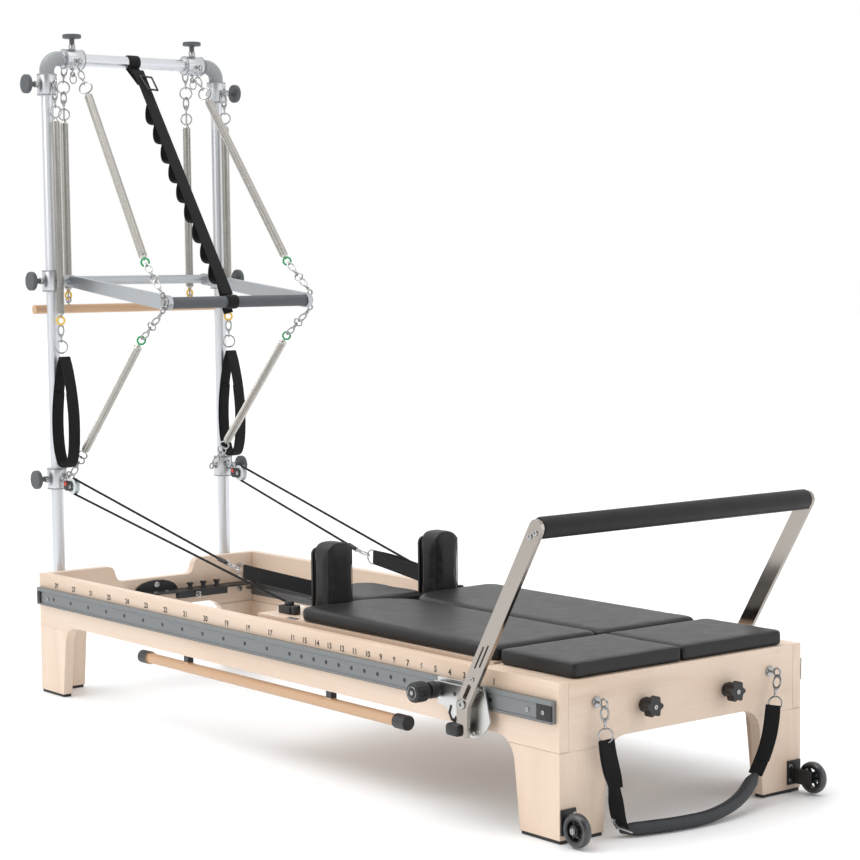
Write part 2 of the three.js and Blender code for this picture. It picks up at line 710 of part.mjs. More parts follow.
// From the cleat on the carriage, round the sheave and back to the hand strap.
function rope(side) {
  const { x, z, groove } = PULLEY;
  const round = groove + ROPE.radius + GAP;
  const y = (value) => side * value;
  const wrap = arc([x, z], round + 0.5, 257, 77, 12).map(([a, b]) => [a, y(TOWER.y), b, ROPE.radius]);
  if (side === FAR) wrap.reverse();
  const run = [
    [ROPE.endX, y(ROPE.endY), ROPE.endZ, ROPE.radius],
    ...wrap,
    [ROPE.gripX, y(ROPE.gripY), ROPE.gripZ, ROPE.radius],
    [-330, y(228), 449, ROPE.radius],
  ];
  const strap = band([[-338, y(228), 451], [-200, y(212), 440], [2, y(186), 425]], [0, 0, 1], 42, 8);
  return joined(strung(run, 8, [0, 1, 0]), strap);
}

bothSides("pulley_sheave", sheave, ALLOY);
bothSides("rope", rope, WEB);

export default reformer;
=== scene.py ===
"""Looks of a wooden pilates reformer with a half-trapeze tower.

All in metres: +X is the foot end, -X the head end, and the near side is -Y.
"""

import math

import bpy
from mathutils import Matrix, Quaternion, Vector


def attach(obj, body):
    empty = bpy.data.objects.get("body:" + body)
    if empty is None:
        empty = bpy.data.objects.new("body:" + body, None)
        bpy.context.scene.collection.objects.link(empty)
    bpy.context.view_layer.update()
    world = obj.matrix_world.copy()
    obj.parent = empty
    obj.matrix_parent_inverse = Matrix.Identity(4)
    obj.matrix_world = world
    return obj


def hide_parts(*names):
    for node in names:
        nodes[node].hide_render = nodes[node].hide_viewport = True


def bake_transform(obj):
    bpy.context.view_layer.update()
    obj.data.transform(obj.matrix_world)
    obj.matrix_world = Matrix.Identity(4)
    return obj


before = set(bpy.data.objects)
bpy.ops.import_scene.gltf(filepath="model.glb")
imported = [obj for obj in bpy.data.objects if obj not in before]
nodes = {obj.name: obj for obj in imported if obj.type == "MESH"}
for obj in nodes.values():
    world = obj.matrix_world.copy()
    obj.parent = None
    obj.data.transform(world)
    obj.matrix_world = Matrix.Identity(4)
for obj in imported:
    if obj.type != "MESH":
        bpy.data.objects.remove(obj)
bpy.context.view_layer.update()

NEAR, FAR = -1, 1
SIDES = (("near", NEAR), ("far", FAR))

# Places shared by several pieces, as in the CAD part.
POST_X, POST_Y, BAR_Z = -1.238, 0.308, 1.948
PAD_LOW = 0.3722
FOOTBAR_X, FOOTBAR_Z = 1.178, 0.722
PUSH_X, PUSH_Z = -0.665, 1.203

# ---------------------------------------------------------------- camera

CAMERA_AT = Vector((4.8305, -3.6576, 1.3094))
CAMERA_TURN, CAMERA_DIP, CAMERA_ROLL = 51.447, 5.409, -0.552
CAMERA_LENS, CAMERA_SHIFT = 92.17, 0.0492


def set_up_camera():
    data = bpy.data.cameras.new("studio_camera")
    data.lens = CAMERA_LENS
    data.sensor_width = 36
    data.shift_y = CAMERA_SHIFT
    camera = bpy.data.objects.new("studio_camera", data)
    bpy.context.scene.collection.objects.link(camera)
    turn, dip = math.radians(CAMERA_TURN), math.radians(CAMERA_DIP)
    look = Vector((-math.sin(turn) * math.cos(dip), math.cos(turn) * math.cos(dip), -math.sin(dip)))
    camera.location = CAMERA_AT
    camera.rotation_mode = "QUATERNION"
    roll = Quaternion((0, 0, 1), math.radians(CAMERA_ROLL))
    camera.rotation_quaternion = look.to_track_quat("-Z", "Y") @ roll
    data.clip_end = 50
    bpy.context.scene.camera = camera


set_up_camera()

# ---------------------------------------------------------------- materials


class Recipe:
    """A node material with one Principled shader, built up a layer at a time on Object coordinates."""

    def __init__(self, name, color, rough, metal=0.0, **fixed):
        self.material = bpy.data.materials.new(name)
        self.material.use_nodes = True
        self.tree = self.material.node_tree
        self.shader = self.tree.nodes["Principled BSDF"]
        self.shader.inputs["Base Color"].default_value = (*color, 1)
        self.shader.inputs["Roughness"].default_value = rough
        self.shader.inputs["Metallic"].default_value = metal
        for key, value in fixed.items():
            self.shader.inputs[key.replace("_", " ")].default_value = value
        self.bumps = []

    def node(self, kind, **values):
        made = self.tree.nodes.new(kind)
        for key, value in values.items():
            if hasattr(made, key):
                setattr(made, key, value)
            else:
                made.inputs[key.replace("_", " ")].default_value = value
        return made

    def link(self, source, target):
        self.tree.links.new(source, target)

    def place(self, scale=(1, 1, 1), uv=False):
        where = self.node("ShaderNodeTexCoord")
        mapped = self.node("ShaderNodeMapping")
        mapped.inputs["Scale"].default_value = scale
        self.link(where.outputs["UV" if uv else "Object"], mapped.inputs["Vector"])
        return mapped.outputs["Vector"]

    def noise(self, scale, detail=3.0, stretch=(1, 1, 1), rough=0.5, distortion=0.0):
        made = self.node("ShaderNodeTexNoise", Scale=scale, Detail=detail, Roughness=rough, Distortion=distortion)
        self.link(self.place(stretch), made.inputs["Vector"])
        return made.outputs["Fac"]

    def ramp(self, source, stops):
        made = self.node("ShaderNodeValToRGB")
        made.color_ramp.elements[0].position, made.color_ramp.elements[-1].position = stops[0][0], stops[-1][0]
        for position, _ in stops[1:-1]:
            made.color_ramp.elements.new(position)
        for element, (_, color) in zip(made.color_ramp.elements, stops):
            element.color = (*color, 1) if len(color) == 3 else color
        self.link(source, made.inputs["Fac"])
        return made.outputs["Color"]

    def mix(self, amount, first, second, how="MIX"):
        made = self.node("ShaderNodeMix", data_type="RGBA", blend_type=how)
        for value, socket in ((amount, made.inputs[0]), (first, made.inputs[6]), (second, made.inputs[7])):
            if hasattr(value, "links"):
                self.link(value, socket)
            else:
                socket.default_value = value if isinstance(value, float) else (*value, 1)
        return made.outputs[2]

    def span(self, source, low, high):
        made = self.node("ShaderNodeMapRange")
        made.inputs["To Min"].default_value, made.inputs["To Max"].default_value = low, high
        self.link(source, made.inputs["Value"])
        return made.outputs["Result"]

    def color(self, source):
        self.link(source, self.shader.inputs["Base Color"])
        return self

    def rough(self, source):
        self.link(source, self.shader.inputs["Roughness"])
        return self

    def bump(self, source, strength, distance=0.001):
        made = self.node("ShaderNodeBump", Strength=strength, Distance=distance)
        self.link(source, made.inputs["Height"])
        if self.bumps:
            self.link(self.bumps[-1].outputs["Normal"], made.inputs["Normal"])
        self.bumps.append(made)
        self.link(made.outputs["Normal"], self.shader.inputs["Normal"])
        return self

    def beyond(self, axis, limit, below=False):
        """1 where the coordinate on that axis is past the limit, 0 elsewhere."""
        split = self.node("ShaderNodeSeparateXYZ")
        self.link(self.place(), split.inputs["Vector"])
        made = self.node("ShaderNodeMath", operation="LESS_THAN" if below else "GREATER_THAN")
        self.link(split.outputs["XYZ".index(axis)], made.inputs[0])
        made.inputs[1].default_value = limit
        return made.outputs[0]


def wood(name, grain, pale, dark):
    """Lacquered boards: broad soft figure, fine straight grain and short flecks along `grain`."""
    along = {"X": (0.12, 1, 1), "Y": (1, 0.12, 1), "Z": (1, 1, 0.12)}[grain]
    recipe = Recipe(name, pale, 0.42, Coat_Weight=0.18, Coat_Roughness=0.3)
    figure = recipe.noise(9, 4, along, 0.55, 0.6)
    fine = recipe.noise(150, 6, tuple(a * (1 if a == 1 else 0.25) for a in along), 0.6)
    flecks = recipe.noise(420, 2, tuple(a * (1 if a == 1 else 0.6) for a in along), 0.4)
    between = tuple((p * 2 + d) / 3 for p, d in zip(pale, dark))
    base = recipe.ramp(figure, [(0.3, pale), (0.52, between), (0.72, dark)])
    lined = recipe.mix(recipe.span(fine, 0.0, 0.32), base, tuple(d * 0.86 for d in dark))
    spots = recipe.ramp(flecks, [(0.66, (0, 0, 0)), (0.78, (0.5, 0.5, 0.5))])
    speck = recipe.mix(spots, lined, tuple(d * 0.74 for d in dark))
    recipe.color(speck).rough(recipe.span(fine, 0.36, 0.52)).bump(fine, 0.12, 0.0004)
    return recipe


PALE, DEEP = (0.80, 0.65, 0.525), (0.66, 0.49, 0.365)
BEECH = (0.62, 0.40, 0.24), (0.50, 0.30, 0.17)
maple_long = wood("maple_along_the_frame", "X", PALE, DEEP)
maple_cross = wood("maple_across_the_frame", "Y", PALE, DEEP)
maple_leg = wood("maple_upright", "Z", PALE, DEEP)
beech_long = wood("beech_pole", "X", *BEECH)
beech_cross = wood("beech_roll_down_bar", "Y", *BEECH)


def two_tone(recipe, amounts, color, rough=0.55):
    """Gives another finish, such as a rubber foot, to a part of a piece; `amounts` are masks that add up."""
    amount = amounts[0]
    for other in amounts[1:]:
        sum_node = recipe.node("ShaderNodeMath", operation="MAXIMUM")
        recipe.link(amount, sum_node.inputs[0])
        recipe.link(other, sum_node.inputs[1])
        amount = sum_node.outputs[0]
    base, sheen = recipe.shader.inputs["Base Color"], recipe.shader.inputs["Roughness"]
    old = base.links[0].from_socket if base.links else tuple(base.default_value[:3])
    recipe.color(recipe.mix(amount, old, color))
    level = recipe.node("ShaderNodeMapRange")
    recipe.link(amount, level.inputs["Value"])
    level.inputs["To Min"].default_value = 0.42 if sheen.links else sheen.default_value
    level.inputs["To Max"].default_value = rough
    recipe.rough(level.outputs["Result"])
    return recipe


def upholstery(name, shade=0.009, rough=0.38):
    recipe = Recipe(name, (shade, shade, shade * 1.12), rough, Specular_IOR_Level=0.33)
    grain = recipe.node("ShaderNodeTexVoronoi", feature="DISTANCE_TO_EDGE", Scale=620)
    recipe.link(recipe.place(), grain.inputs["Vector"])
    creases = recipe.noise(28, 4, rough=0.6)
    wear = recipe.noise(5, 2)
    worn = (shade * 1.5, shade * 1.5, shade * 1.65)
    recipe.color(recipe.mix(recipe.span(wear, 0.0, 0.6), (shade,) * 3, worn))
    recipe.rough(recipe.span(creases, rough - 0.05, rough + 0.12))
    recipe.bump(grain.outputs["Distance"], 0.35, 0.0005).bump(creases, 0.18, 0.0012)
    return recipe.material


leather = upholstery("black_upholstery")
leather_side = upholstery("black_upholstery_grip", 0.011, 0.55)


def plastic(name, color, rough=0.45, stipple=0.18):
    recipe = Recipe(name, color, rough)
    dots = recipe.noise(900, 2)
    recipe.rough(recipe.span(recipe.noise(30, 3), rough - 0.08, rough + 0.08)).bump(dots, stipple, 0.0003)
    lighter = tuple(min(1, c * 1.4 + 0.01) for c in color)
    recipe.color(recipe.mix(recipe.span(dots, 0.0, 0.25), color, lighter))
    return recipe.material


# Black for the moulded plastic parts; the same black also marks painted shade: the discs in the rail holes and the
# strip under each rail.
black_plastic_and_painted_shade = plastic("black_moulding_and_painted_shade", (0.009, 0.009, 0.010))
knob_grey = plastic("grey_knob_moulding", (0.075, 0.082, 0.088), 0.55)
rubber = plastic("rubber_foot", (0.02, 0.02, 0.02), 0.75, 0.4)
sleeve = plastic("grey_foam_sleeve", (0.085, 0.093, 0.102), 0.72, 0.5)
foot_sleeve = plastic("dark_grey_strap_tube", (0.028, 0.030, 0.034), 0.6, 0.4)
red_rivet = plastic("red_rivet_cap", (0.62, 0.06, 0.035), 0.4)
green_ring = plastic("green_ring_coating", (0.01, 0.30, 0.10), 0.35)
yellow_ring = plastic("yellow_ring_coating", (0.75, 0.47, 0.03), 0.35)
sheave_white = plastic("white_sheave_moulding", (0.62, 0.66, 0.68), 0.35)
# Ink for the printed rail numbers; the same dark colour also marks painted shade in the footbar arm slots and in the
# selector's slot and pin hole.
ink_and_hole_shade = plastic("printed_numbers_and_painted_hole_shade", (0.035, 0.025, 0.02), 0.6, 0.05)


def metal(name, color, rough, brush=None, strength=0.08):
    recipe = Recipe(name, color, rough, 1.0)
    lines = recipe.noise(260, 4, brush or (1, 1, 1), 0.6)
    blotch = recipe.noise(12, 3)
    recipe.rough(recipe.span(lines, max(rough - 0.07, 0.03), rough + 0.09)).bump(lines, strength, 0.0003)
    recipe.color(recipe.mix(recipe.span(blotch, 0.0, 0.35), color, tuple(c * 0.86 for c in color)))
    return recipe


# Chrome's base colour is darker and browner than bare chrome: a painted reflection of the brown surroundings.
chrome = metal("chrome_with_painted_reflection", (0.37, 0.335, 0.30), 0.12, strength=0.02).material
bright_steel = metal("bright_steel_fitting", (0.40, 0.40, 0.40), 0.2).material
spring_steel = metal("nickel_spring_wire", (0.53, 0.515, 0.485), 0.2).material
alloy_post = metal("satin_alloy_tube", (0.66, 0.675, 0.70), 0.32, (1, 1, 0.03))
alloy_bar = metal("satin_alloy_cross_tube", (0.66, 0.675, 0.70), 0.32, (1, 0.03, 1))
alloy_arm = metal("satin_alloy_arm", (0.47, 0.49, 0.51), 0.4, (0.03, 1, 1)).material
alloy_collar = metal("machined_collar", (0.60, 0.61, 0.63), 0.34, (1, 1, 0.3)).material
cast_grey = plastic("grey_cast_elbow", (0.27, 0.285, 0.295), 0.45, 0.5)
rail_grey = metal("grey_anodised_rail", (0.215, 0.225, 0.230), 0.45, (0.03, 1, 1))
rail_grey.shader.inputs["Metallic"].default_value = 0.55
dark_steel = metal("dark_inner_rail", (0.16, 0.165, 0.17), 0.5, (0.03, 1, 1)).material


def woven(name, color, pitch=0.0016):
    """Webbing or braided cord: a weave that follows the piece's own UV map, in metres."""
    recipe = Recipe(name, color, 0.85, Sheen_Weight=0.05, Sheen_Roughness=0.5, Specular_IOR_Level=0.2)
    rows, ribs = (
        recipe.node("ShaderNodeTexWave", wave_type="BANDS", bands_direction=way, Scale=scale, Distortion=0.4)
        for way, scale in (("X", 0.32 / pitch), ("Y", 0.16 / pitch))
    )
    here = recipe.place(uv=True)
    recipe.link(here, rows.inputs["Vector"])
    recipe.link(here, ribs.inputs["Vector"])
    both = recipe.mix(0.5, rows.outputs["Color"], ribs.outputs["Color"], "MULTIPLY")
    worn = tuple(c * 1.7 + 0.004 for c in color)
    recipe.color(recipe.mix(recipe.span(recipe.noise(60, 3), 0.0, 0.5), color, worn))
    recipe.bump(both, 0.5, 0.0005)
    return recipe.material


webbing = woven("black_webbing", (0.008, 0.008, 0.009))
cord_black = woven("black_braided_rope", (0.008, 0.008, 0.009), 0.0022)


def cast_tyre(name, pale, dark):
    recipe = Recipe(name, pale, 0.28, Coat_Weight=0.4, Coat_Roughness=0.1)
    recipe.bump(recipe.noise(90, 3), 0.1, 0.0006)
    return recipe.color(recipe.mix(recipe.span(recipe.noise(22, 3), 0.0, 0.6), dark, pale)).material


wheel_grey = cast_tyre("smoke_grey_wheel", (0.050, 0.053, 0.058), (0.022, 0.024, 0.027))

# ---------------------------------------------------------------- CAD pieces that keep their shape


def dress(names, material, round_edges=0.0):
    for name in names:
        piece = nodes[name]
        piece.data.materials.clear()
        piece.data.materials.append(material)
        if round_edges:
            weld = piece.modifiers.new("weld", "WELD")
            weld.merge_threshold = 0.00002
            bevel = piece.modifiers.new("eased_edges", "BEVEL")
            bevel.width, bevel.segments, bevel.limit_method = round_edges, 2, "ANGLE"
            bevel.angle_limit = math.radians(35)


def pair(*stems):
    return [f"{stem}_{side}" for stem in stems for side, _ in SIDES]


two_tone(maple_leg, [maple_leg.beyond("Z", 0.0085, below=True)], (0.02, 0.02, 0.02), 0.75)
pole_ends = [beech_long.beyond("X", 0.587), beech_long.beyond("X", -0.572, below=True)]
pole_ends.append(beech_long.beyond("Z", 0.2035))
two_tone(beech_long, pole_ends, (0.018, 0.018, 0.02), 0.45)
dress(pair("side_panel") + ["carriage_frame"], maple_long.material, 0.0016)
dress(["foot_end_board", "head_end_board"], maple_cross.material, 0.0016)
dress(pair("leg_foot", "leg_head"), maple_leg.material, 0.0016)
dress(pair("outer_rail"), rail_grey.material, 0.0006)
dress(pair("inner_rail") + ["spring_bar"], dark_steel, 0.0006)
dress(["wood_pole"], beech_long.material)
two_tone(beech_cross, [beech_cross.beyond("Z", 1.1955)], (0.42, 0.41, 0.39), 0.3)
dress(["roll_down_bar"], beech_cross.material)
dress(["head_bracket"] + pair("wheel_bracket", "star_knob"), black_plastic_and_painted_shade, 0.0012)
plate_steel = metal("brushed_steel_plate", (0.60, 0.60, 0.59), 0.3, strength=0.04).material
dress(pair("footbar_arm"), chrome, 0.0012)
dress(pair("selector_plate"), plate_steel, 0.0008)
dress(pair("tower_post"), alloy_post.material)
dress(["tower_top_bar"], alloy_bar.material)
dress(["push_bar_frame"], alloy_arm, 0.0012)
dress(pair("pulley_sheave"), sheave_white)
dress(pair("collar_knob_low", "collar_knob_mid", "collar_knob_high", "collar_knob_top"), knob_grey, 0.0022)

# ---------------------------------------------------------------- studio


def set_up_studio():
    floor = bpy.data.meshes.new("studio_floor")
    floor.from_pydata([(-40, -40, 0), (40, -40, 0), (40, 40, 0), (-40, 40, 0)], [], [(0, 1, 2, 3)])
    floor_object = bpy.data.objects.new("studio_floor", floor)
    bpy.context.scene.collection.objects.link(floor_object)
    recipe = Recipe("pale_floor", (0.955, 0.972, 0.99), 0.5)
    floor.materials.append(recipe.material)
    world = bpy.data.worlds.new("studio")
    bpy.context.scene.world = world
    world.use_nodes = True
    sky = world.node_tree.nodes["Background"]
    sky.inputs["Strength"].default_value = 1.0
    where = world.node_tree.nodes.new("ShaderNodeTexCoord")
    tone = world.node_tree.nodes.new("ShaderNodeValToRGB")
    facing = world.node_tree.nodes.new("ShaderNodeVectorMath")
    facing.operation = "DOT_PRODUCT"
    facing.inputs[1].default_value = (0.60, -0.48, 0.64)
    world.node_tree.links.new(where.outputs["Generated"], facing.inputs[0])
    world.node_tree.links.new(facing.outputs["Value"], tone.inputs["Fac"])
    world.node_tree.links.new(tone.outputs["Color"], sky.inputs["Color"])
    tone.color_ramp.elements[0].position, tone.color_ramp.elements[1].position = 0.78, 0.93
    tone.color_ramp.elements[0].color, tone.color_ramp.elements[1].color = (1, 1, 1, 1), (0.16, 0.15, 0.15, 1)
    bpy.context.scene.view_settings.view_transform = "Standard"
    sun = bpy.data.lights.new("even_key_light", "SUN")
    sun.energy, sun.angle, sun.color = 1.25, math.radians(55), (1, 0.99, 0.975)
    key = bpy.data.objects.new("even_key_light", sun)
    key.rotation_mode = "QUATERNION"
    key.rotation_quaternion = Vector((0.35, 0.30, -1)).to_track_quat("-Z", "Y")
    bpy.context.scene.collection.objects.link(key)
    for name, at, size, power, color in (
        ("overhead_softbox", (0.4, -0.6, 4.6), (5.0, 3.4), 45, (1, 0.985, 0.97)),
        ("left_softbox", (-0.5, -5.2, 3.0), (3.6, 2.6), 45, (1, 0.99, 0.98)),
        ("right_softbox", (5.2, 2.6, 2.8), (3.0, 2.6), 20, (0.96, 0.98, 1)),
    ):
        light = bpy.data.lights.new(name, "AREA")
        light.shape, light.size, light.size_y = "RECTANGLE", *size
        light.energy, light.color = power, color
        lamp = bpy.data.objects.new(name, light)
        lamp.location = at
        lamp.rotation_mode = "QUATERNION"
        lamp.rotation_quaternion = (Vector((0, 0, 0.6)) - Vector(at)).to_track_quat("-Z", "Y")
        bpy.context.scene.collection.objects.link(lamp)


set_up_studio()

# ---------------------------------------------------------------- ways of making pieces


def only(piece):
    bpy.ops.object.select_all(action="DESELECT")
    piece.select_set(True)
    bpy.context.view_layer.objects.active = piece


def set_in_place(piece):
    only(piece)
    bpy.ops.object.transform_apply(location=True, rotation=True, scale=True)
    for modifier in list(piece.modifiers):
        bpy.ops.object.modifier_apply(modifier=modifier.name)
    return piece


def one_piece(pieces):
    only(pieces[0])
    for piece in pieces[1:]:
        piece.select_set(True)
    bpy.ops.object.join()
    return bpy.context.view_layer.objects.active


def keep(piece, name, material, body, hides=(), smooth=40):
    """Names a finished piece, gives it its finish and hangs it on its body."""
    piece.name = piece.data.name = name
    if material:
        piece.data.materials.clear()
        piece.data.materials.append(material)
    if smooth:
        only(piece)
        bpy.ops.object.shade_smooth_by_angle(angle=math.radians(smooth))
    if body:
        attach(piece, body)
    if hides:
        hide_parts(*hides)
    return piece


def steel(parts, name, body):
    """Joins bright metal parts into one finished piece."""
    return keep(one_piece(parts), name, bright_steel, body)


def moulded(parts, name, body, hides=()):
    """Joins black parts into one finished piece: moulded parts, and also the black marks of painted shade at the
    rails.
    """
    return keep(one_piece(parts), name, black_plastic_and_painted_shade, body, hides)


def outward(piece):
    """Turns all faces of a closed piece outwards."""
    only(piece)
    bpy.ops.object.mode_set(mode="EDIT")
    bpy.ops.mesh.select_all(action="SELECT")
    bpy.ops.mesh.normals_make_consistent(inside=False)
    bpy.ops.object.mode_set(mode="OBJECT")
    return piece


def eased(piece, width, segments=2):
    bevel = piece.modifiers.new("ease", "BEVEL")
    bevel.width, bevel.segments, bevel.limit_method = width, segments, "ANGLE"
    bevel.angle_limit = math.radians(35)
    return set_in_place(piece)


def toward(way):
    return Vector(way).to_track_quat("Z", "Y")


def rod(start, end, radius, sides=20, ease=0.0006, end_radius=None):
    start, end = Vector(start), Vector(end)
    bpy.ops.mesh.primitive_cone_add(
        vertices=sides, radius1=radius, radius2=radius if end_radius is None else end_radius,
        depth=(end - start).length, location=(start + end) / 2, rotation=toward(end - start).to_euler(),
    )
    piece = bpy.context.object
    return eased(piece, ease) if ease else set_in_place(piece)


def box_ends(first, second):
    """The low and the high corner of the box between two corners."""
    return Vector(map(min, first, second)), Vector(map(max, first, second))


def block(first, second, ease=0.001):
    low, high = box_ends(first, second)
    bpy.ops.mesh.primitive_cube_add(size=1, location=(low + high) / 2, scale=high - low)
    return eased(bpy.context.object, ease)


def ring(at, radius, wire, normal=(0, 1, 0), stretch=1.0, along=None, around=24):
    bpy.ops.mesh.primitive_torus_add(
        major_radius=radius, minor_radius=wire, major_segments=around, minor_segments=8, location=(0, 0, 0)
    )
    piece = bpy.context.object
    piece.scale = (1, stretch, 1)
    set_in_place(piece)
    normal = Vector(normal).normalized()
    up = Vector(along) if along is not None else normal.orthogonal()
    up = (up - normal * up.dot(normal)).normalized()
    turned = Matrix((up.cross(normal), up, normal)).transposed().to_4x4()
    piece.matrix_world = Matrix.Translation(Vector(at)) @ turned
    return set_in_place(piece)


def dome_screw(at, way, radius, height=0.0025):
    """Round-headed screw with a hexagon socket, facing `way`."""
    at, way = Vector(at), Vector(way).normalized()
    head = rod(at - way * 0.001, at + way * height, radius, 20, height * 0.45)
    bpy.ops.object.mode_set(mode="EDIT")
    bpy.ops.mesh.select_mode(type="FACE")
    bpy.ops.mesh.select_all(action="DESELECT")
    bpy.ops.object.mode_set(mode="OBJECT")
    for face in head.data.polygons:
        face.select = face.normal.dot(way) > 0.99 and (face.center - at).dot(way) > height * 0.9
    bpy.ops.object.mode_set(mode="EDIT")
    bpy.ops.mesh.inset(thickness=radius * 0.45)
    bpy.ops.mesh.inset(thickness=0.00005)
    bpy.ops.transform.translate(value=-way * height * 0.7)
    bpy.ops.object.mode_set(mode="OBJECT")
    return head


def snap_hook(start, end, turn=(0.6, 0.8, 0)):
    """Sprung hook between two points: a long oval body, a swivel neck and a small eye."""
    start, end = Vector(start), Vector(end)
    way, length = (end - start).normalized(), (end - start).length
    face = Vector(turn).cross(way)
    if face.length < 0.1:
        face = way.orthogonal()
    oval = length * 0.62
    body = ring(start + way * oval / 2, 0.0085, 0.0025, face, oval / 2 / 0.0085, way)
    neck = rod(start + way * oval, start + way * length * 0.76, 0.0045, 12, 0.0008)
    eye = ring(end - way * length * 0.12, 0.0066, 0.0025, way.cross(face), 1.1, way)
    return [body, neck, eye]


def eye_bolt(at, way, reach=0.02, eye=0.0085):
    """Threaded stud with a collar and an eye, standing out of `at` along `way`."""
    at, way = Vector(at), Vector(way).normalized()
    side = Vector((0, 0, 1)) if abs(way.z) < 0.9 else Vector((0, 1, 0))
    return [
        rod(at - way * 0.002, at + way * 0.003, 0.0085, 6, 0.0006),
        rod(at, at + way * (reach - eye), 0.003, 12, 0.0003),
        ring(at + way * reach, eye, 0.0027, way.cross(side)),
    ]


def coil(start, end, radius, wire, pitch):
    """Close-wound spring: a small ring of wire screwed along the line from start to end."""
    start, end = Vector(start), Vector(end)
    length = (end - start).length
    turns = int(length / pitch)
    bpy.ops.mesh.primitive_circle_add(
        vertices=6, radius=wire, location=(radius - wire, 0, 0), rotation=(math.pi / 2, 0, 0)
    )
    piece = bpy.context.object
    set_in_place(piece)
    screw = piece.modifiers.new("wind", "SCREW")
    screw.axis, screw.angle, screw.steps, screw.render_steps = "Z", math.tau, 14, 14
    screw.screw_offset, screw.iterations = length / turns, turns
    screw.use_merge_vertices = False
    outward(set_in_place(piece))
    piece.matrix_world = Matrix.Translation(start) @ toward(end - start).to_matrix().to_4x4()
    return set_in_place(piece)


def smooth_path(points, steps):
    """Evenly stepped Catmull-Rom curve through points of any dimension."""
    points = [Vector(p) for p in points]
    ends = [points[0] * 2 - points[1]] + points + [points[-1] * 2 - points[-2]]
    path = []
    for i in range(len(points) - 1):
        p0, p1, p2, p3 = ends[i : i + 4]
        for j in range(steps):
            t = j / steps
            bend, twist = 2 * p0 - 5 * p1 + 4 * p2 - p3, 3 * p1 - p0 - 3 * p2 + p3
            path.append(0.5 * (2 * p1 + (p2 - p0) * t + bend * t**2 + twist * t**3))
    return path + [points[-1]]


def skin(rings, across, lengths):
    """Closed quad mesh over rings of points, with a UV map in metres: across the piece, then along it."""
    count = len(rings[0])
    verts = [tuple(p) for r in rings for p in r]
    faces = [
        (i * count + j, i * count + (j + 1) % count, (i + 1) * count + (j + 1) % count, (i + 1) * count + j)
        for i in range(len(rings) - 1)
        for j in range(count)
    ]
    faces += [tuple(reversed(range(count))), tuple(range((len(rings) - 1) * count, len(rings) * count))]
    mesh = bpy.data.meshes.new("soft")
    mesh.from_pydata(verts, [], faces)
    uv = mesh.uv_layers.new(name="weave").data
    for face in mesh.polygons:
        columns = [mesh.loops[k].vertex_index % count for k in face.loop_indices]
        wraps = max(columns) == count - 1 and min(columns) == 0
        for k, column in zip(face.loop_indices, columns):
            row = mesh.loops[k].vertex_index // count
            u = across[-1] if wraps and column == 0 and len(columns) == 4 else across[column]
            uv[k].uv = (u, lengths[row])
    piece = bpy.data.objects.new("soft", mesh)
    bpy.context.scene.collection.objects.link(piece)
    return piece


def run_lengths(path):
    lengths = [0.0]
    for a, b in zip(path, path[1:]):
        lengths.append(lengths[-1] + (b - a).length)
    return lengths


def heading(path, i):
    return (path[min(i + 1, len(path) - 1)] - path[max(i - 1, 0)]).normalized()


def rope_of(points, radius, steps=6, sides=10, guide=(0, 1, 0), flatten=1.0):
    path = smooth_path(points, steps) if steps > 1 else [Vector(p) for p in points]
    rings = []
    for i, centre in enumerate(path):
        way = heading(path, i)
        u = Vector(guide).cross(way).normalized()
        v = way.cross(u)
        size = radius(i / (len(path) - 1)) if callable(radius) else radius
        rings.append([
            centre + (u * math.cos(a) * flatten + v * math.sin(a)) * size
            for a in (math.tau * k / sides for k in range(sides))
        ])
    girth = math.tau * (radius if not callable(radius) else radius(0.5))
    return skin(rings, [girth * k / sides for k in range(sides)] + [girth], run_lengths(path))


def strap_of(points, across, width, thick, steps=6):
    """Flat webbing through points; `across` is one direction of its width, or one for each point."""
    path = smooth_path(points, steps)
    one_way = not isinstance(across[0], (tuple, list, Vector))
    wides = smooth_path([across] * len(points) if one_way else across, steps)
    columns, rings = 8, []
    rise = [thick * (0.5 if 0 < k < columns else 0.28) for k in range(columns + 1)]
    for i, centre in enumerate(path):
        way = heading(path, i)
        normal = way.cross(wides[i]).normalized()
        side = normal.cross(way).normalized()
        upper = [centre + side * width * (k / columns - 0.5) + normal * up for k, up in enumerate(rise)]
        lower = [centre + side * width * (0.5 - k / columns) - normal * up for k, up in enumerate(rise)]
        rings.append(upper + lower)
    flat = [width * k / columns for k in range(columns + 1)]
    piece = skin(rings, flat + flat[::-1] + [0.0], run_lengths(path))
    bpy.context.view_layer.update()
    return outward(piece)


def across_joint(piece, name, material, hides=()):
    """Keeps a soft piece or spring that reaches from one body to another."""
    keep(piece, name, material, None, hides)
    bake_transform(piece)


# ---------------------------------------------------------------- ropes and hand straps

ROPE_RADIUS = 0.0035
PULLEY = Vector((-1.134, 0, 0.638))


